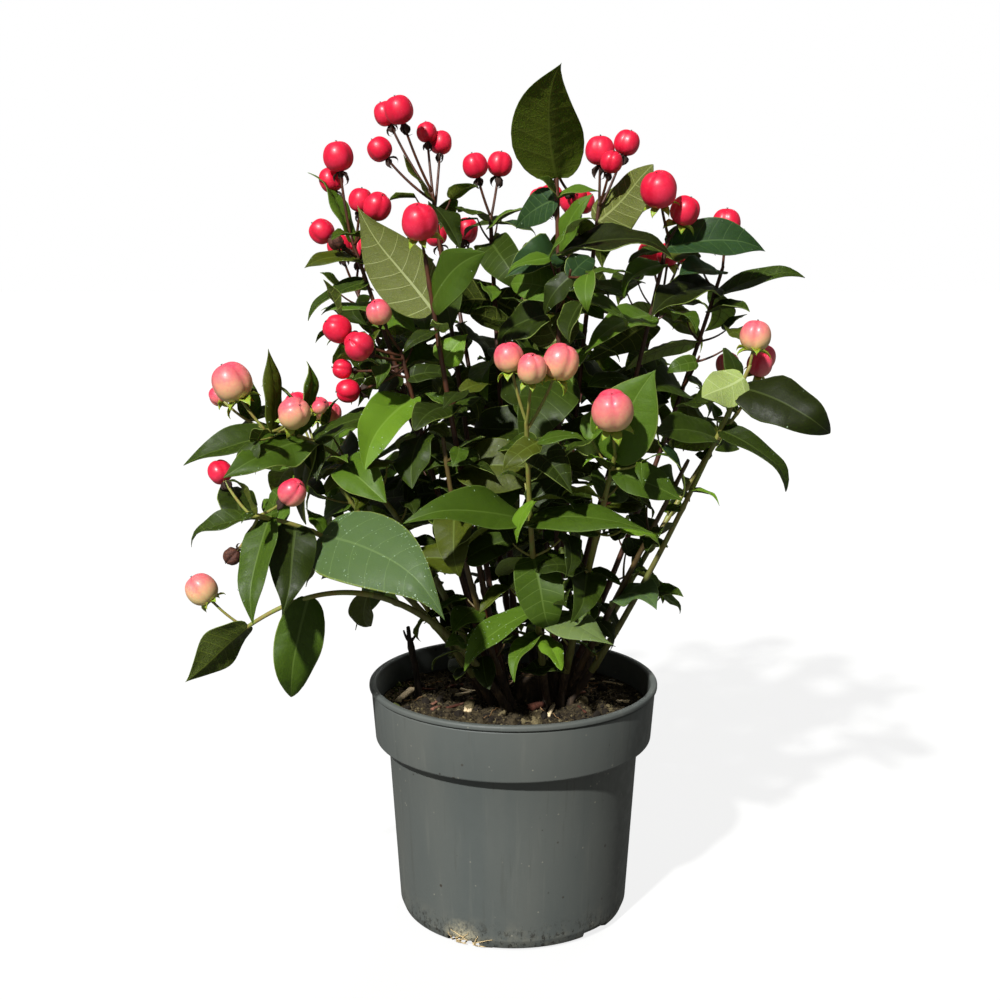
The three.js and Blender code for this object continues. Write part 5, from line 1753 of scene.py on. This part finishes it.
def stem_materials():
    for name, light, dark in (
        ("cane_red", (88, 49, 27), (52, 32, 19)), ("cane_green", (112, 120, 58), (96, 88, 42)),
        ("cane_brown", (82, 62, 38), (54, 40, 26)), ("stem_red", (92, 50, 28), (54, 31, 19)),
        ("stem_green", (128, 140, 62), (140, 122, 60)), ("stem_brown", (98, 84, 42), (76, 56, 32)),
    ):
        streaks = [(0.35, light), (0.65, dark)]
        grained(name, light, 0.5, (2.2, 4, 0.6, (1, 1, 0.16)), streaks, (0.4, 0.3), (0.4, 0.6))
    flakes = [(0.3, (28, 22, 16)), (0.5, (56, 43, 30)), (0.62, (86, 70, 50)), (0.75, (120, 102, 78))]
    grained("bark_woody", (74, 54, 40), 0.85, (3.0, 6, 0.7, (1, 1, 0.3)), flakes, (0.8, 0.8), (0.75, 0.95))
    rings = [(0.35, (128, 104, 72)), (0.65, (84, 62, 40))]
    grained("wood_cut", (120, 96, 66), 0.8, (1.6, 4), rings, (0.5, 0.4))
    splits = [(0.35, (22, 17, 14)), (0.6, (52, 42, 34)), (0.75, (92, 80, 66))]
    grained("dead", (44, 34, 28), 0.9, (1.8, 5, 0.65, (1, 1, 0.25)), splits, (0.7, 0.5))


def berry_materials():
    berry = Shader(
        "berry", (220, 60, 80), 0.42, (2.4, 0.36, 0.52), (1.2, 3, 0.12, 0.2), Subsurface_Weight=0.14,
        Subsurface_Scale=0.0016, Subsurface_Radius=(1.0, 0.35, 0.25), Coat_Weight=0.12, Coat_Roughness=0.22,
    )
    blush = berry.node("ShaderNodeAttribute", attribute_name="blush").outputs["Fac"]
    mottle = berry.spread(berry.noise(1.5, 4), 0.3, 0.7, -0.06, 0.06)
    skin = berry.ramp(berry.maths("ADD", blush, mottle), [
        (0.0, (222, 196, 132)), (0.2, (232, 174, 132)), (0.4, (232, 128, 122)), (0.6, (230, 88, 106)),
        (0.8, (236, 46, 80)), (1.0, (222, 18, 56)),
    ])
    pores = berry.spread(berry.cells(1.1, "F1"), 0.05, 0.14, 1.0, 0.0)
    berry.colour(berry.blend(berry.maths("MULTIPLY", pores, 0.18), skin, (250, 214, 186)))
    folds = [(0.3, (38, 20, 14)), (0.55, (86, 46, 30)), (0.75, (136, 86, 58))]
    grained("husk", (74, 42, 28), 0.7, (1.3, 5, 0.7), folds, (0.8, 0.7))
    Shader("sepal_green", (140, 162, 46), 0.5, (1.4, 0.4, 0.6), (0.7, 3, 0.3, 0.3), **LEAF_GLOW)
    Shader("sepal_dry", (50, 33, 22), 0.8, (1.0, 0.7, 0.9), (0.6, 4, 0.6, 0.4))
    Shader("style", (52, 34, 26), 0.8, None, (0.4, 2, 0.4, 0.2))


def peat_materials():
    peat = Shader("peat", (40, 30, 22), 0.95, Specular_IOR_Level=0.25)
    grain = peat.noise(1.6, 8, 0.7)
    patches = peat.spread(peat.noise(16, 3), 0.4, 0.62, 0, 1)
    dark = peat.ramp(grain, [(0.3, (22, 18, 12)), (0.52, (50, 42, 29)), (0.72, (98, 86, 62))])
    brown = peat.ramp(grain, [(0.3, (30, 25, 15)), (0.52, (72, 62, 40)), (0.72, (132, 120, 86))])
    peat.colour(peat.blend(patches, dark, brown))
    peat.bump(grain, 1.0, 1.2)
    for name, colour in BIT_COLOURS.items():
        darker = tuple(int(part * 0.6) for part in colour)
        specks = [(0.4, colour), (0.7, darker)]
        grained(name, colour, 0.85, (0.8, 5, 0.65), specks, (0.7, 0.4), Specular_IOR_Level=0.3)


def pot_material():
    """Grey moulded plastic with faint flow marks, dust, specks of peat and scuffs near its foot"""
    pot = Shader("pot", (92, 96, 92), 0.5, Specular_IOR_Level=0.35)
    height = pot.node("ShaderNodeSeparateXYZ", {"Vector": pot.place}).outputs["Z"]
    flow = pot.spread(pot.noise(30, 4, 0.5, (1, 1, 0.2)), 0.35, 0.68, 0, 1)
    streaks = pot.spread(pot.noise(4, 3, 0.5, (1, 1, 0.05)), 0.6, 0.76, 0, 0.2)
    runs = pot.spread(pot.noise(3, 3, 0.5, (1, 1, 0.04)), 0.62, 0.74, 0, 0.35)
    low = pot.spread(height, 0.0, 20 * MM, 1, 0)
    dusty = pot.spread(pot.noise(9, 6, 0.75), 0.47, 0.7, 0, 0.85)
    hole = polar(BODY_FOOT_RADIUS * MM, math.radians(LAST_DRAIN_DEG), DRAIN_HEIGHT * MM)
    apart = pot.node("ShaderNodeVectorMath", {0: pot.place, 1: hole}, operation="DISTANCE")
    halo = pot.spread(apart.outputs["Value"], 4 * MM, 12 * MM, 1, 0)
    fuzz = pot.spread(pot.noise(2.0, 6, 0.75), 0.4, 0.6, 0.15, 0.95)
    soiled = pot.spread(height, 7 * MM, 17 * MM, 1, 0)
    layers = [
        (streaks, (116, 117, 108)), (runs, (72, 74, 68)),
        (pot.maths("MULTIPLY", low, dusty), (124, 122, 108)),
        (pot.maths("MULTIPLY", halo, fuzz), (176, 168, 140)),
    ]
    for size, least in ((2.6, 0.54), (5.5, 0.57)):
        fleck = pot.spread(pot.noise(size, 5, 0.8, (1, 1, 0.6)), least, least + 0.06, 0, 0.85)
        layers.append((pot.maths("MULTIPLY", fleck, soiled), (40, 37, 31)))
    for size, reach, strength, colour in (
        (5.0, 0.11, 0.75, (140, 138, 124)), (9.0, 0.07, 0.85, (44, 39, 32)), (13.0, 0.08, 0.9, (52, 44, 34)),
        (12.0, 0.04, 0.9, (186, 184, 172)),
    ):
        specks = pot.spread(pot.cells(size, "F1"), reach * 0.6, reach, strength, 0)
        mask = pot.spread(pot.noise(4 * size, 2), 0.5, 0.58, 0, 1)
        layers.append((pot.maths("MULTIPLY", specks, mask), colour))
    base = pot.blend(flow, (82, 87, 84), (92, 95, 90))
    for share, colour in layers:
        base = pot.blend(share, base, colour)
    pot.colour(base)
    pot.rough(pot.noise(5, 4), 0.45, 0.62)
    scratches = pot.spread(pot.noise(1.5, 2, 0.5, (1, 1, 0.12)), 0.66, 0.74, 0, 1)
    pot.bump(pot.maths("ADD", pot.noise(1.2, 5, 0.7), scratches), 0.14, 0.15)


def make_floor():
    """A pale floor whose shadows stay light, and which throws little light up at the plant"""
    bpy.ops.mesh.primitive_plane_add(size=FLOOR_SIDE)
    floor = bpy.context.object
    floor.name = "floor"
    shade = Shader("floor_pale", FLOOR_COLOUR, 0.8, (40, 0.75, 0.85), Emission_Color=WHITE)
    seen = shade.node("ShaderNodeLightPath").outputs["Is Camera Ray"]
    shade.link(shade.spread(seen, 0, 1, 0, FLOOR_GLOW), shade.principled, "Emission Strength")
    floor.data.materials.append(shade.material)


def make_light():
    """A key light from the upper left in front, a soft one behind, and an even white surround that is
    dimmer as light than as backdrop"""
    for name, (side, height, strength, spread) in LIGHTS.items():
        side, height = math.radians(side), math.radians(height)
        data = bpy.data.lights.new(name, "SUN")
        data.energy = strength
        data.angle = math.radians(spread)
        light = bpy.data.objects.new(name, data)
        bpy.context.scene.collection.objects.link(light)
        towards = Vector(polar(math.cos(height), side - math.pi / 2, math.sin(height)))
        light.rotation_euler = towards.to_track_quat("Z", "Y").to_euler()
        light.visible_glossy = name == "key"
    world = bpy.data.worlds.new("studio")
    bpy.context.scene.world = world
    world.use_nodes = True
    tree = world.node_tree
    background = tree.nodes["Background"]
    background.inputs["Color"].default_value = WHITE
    seen = tree.nodes.new("ShaderNodeLightPath")
    strength = tree.nodes.new("ShaderNodeMapRange")
    strength.inputs["To Min"].default_value = FILL_STRENGTH
    strength.inputs["To Max"].default_value = 1.0
    tree.links.new(seen.outputs["Is Camera Ray"], strength.inputs["Value"])
    tree.links.new(strength.outputs["Result"], background.inputs["Strength"])


def make_camera():
    """The camera that took the picture"""
    data = bpy.data.cameras.new("camera")
    data.sensor_width = SENSOR_WIDTH
    data.lens = FOCAL_PIXELS * SENSOR_WIDTH / PICTURE_SIDE
    data.clip_start = 0.01
    camera = bpy.data.objects.new("camera", data)
    camera.location = CAMERA_PLACE * MM
    camera.rotation_euler = (math.pi / 2 - CAMERA_TILT, 0, 0)
    bpy.context.scene.collection.objects.link(camera)
    bpy.context.scene.camera = camera


leaf_materials()
stem_materials()
berry_materials()
peat_materials()
pot_material()
make_camera()
make_light()
make_floor()
make_pot()
make_peat()
make_crumbs()
make_litter()
make_stock()
make_stub()
make_plant()

bpy.context.scene.view_settings.view_transform = "Standard"
bpy.context.scene.view_settings.look = "None"
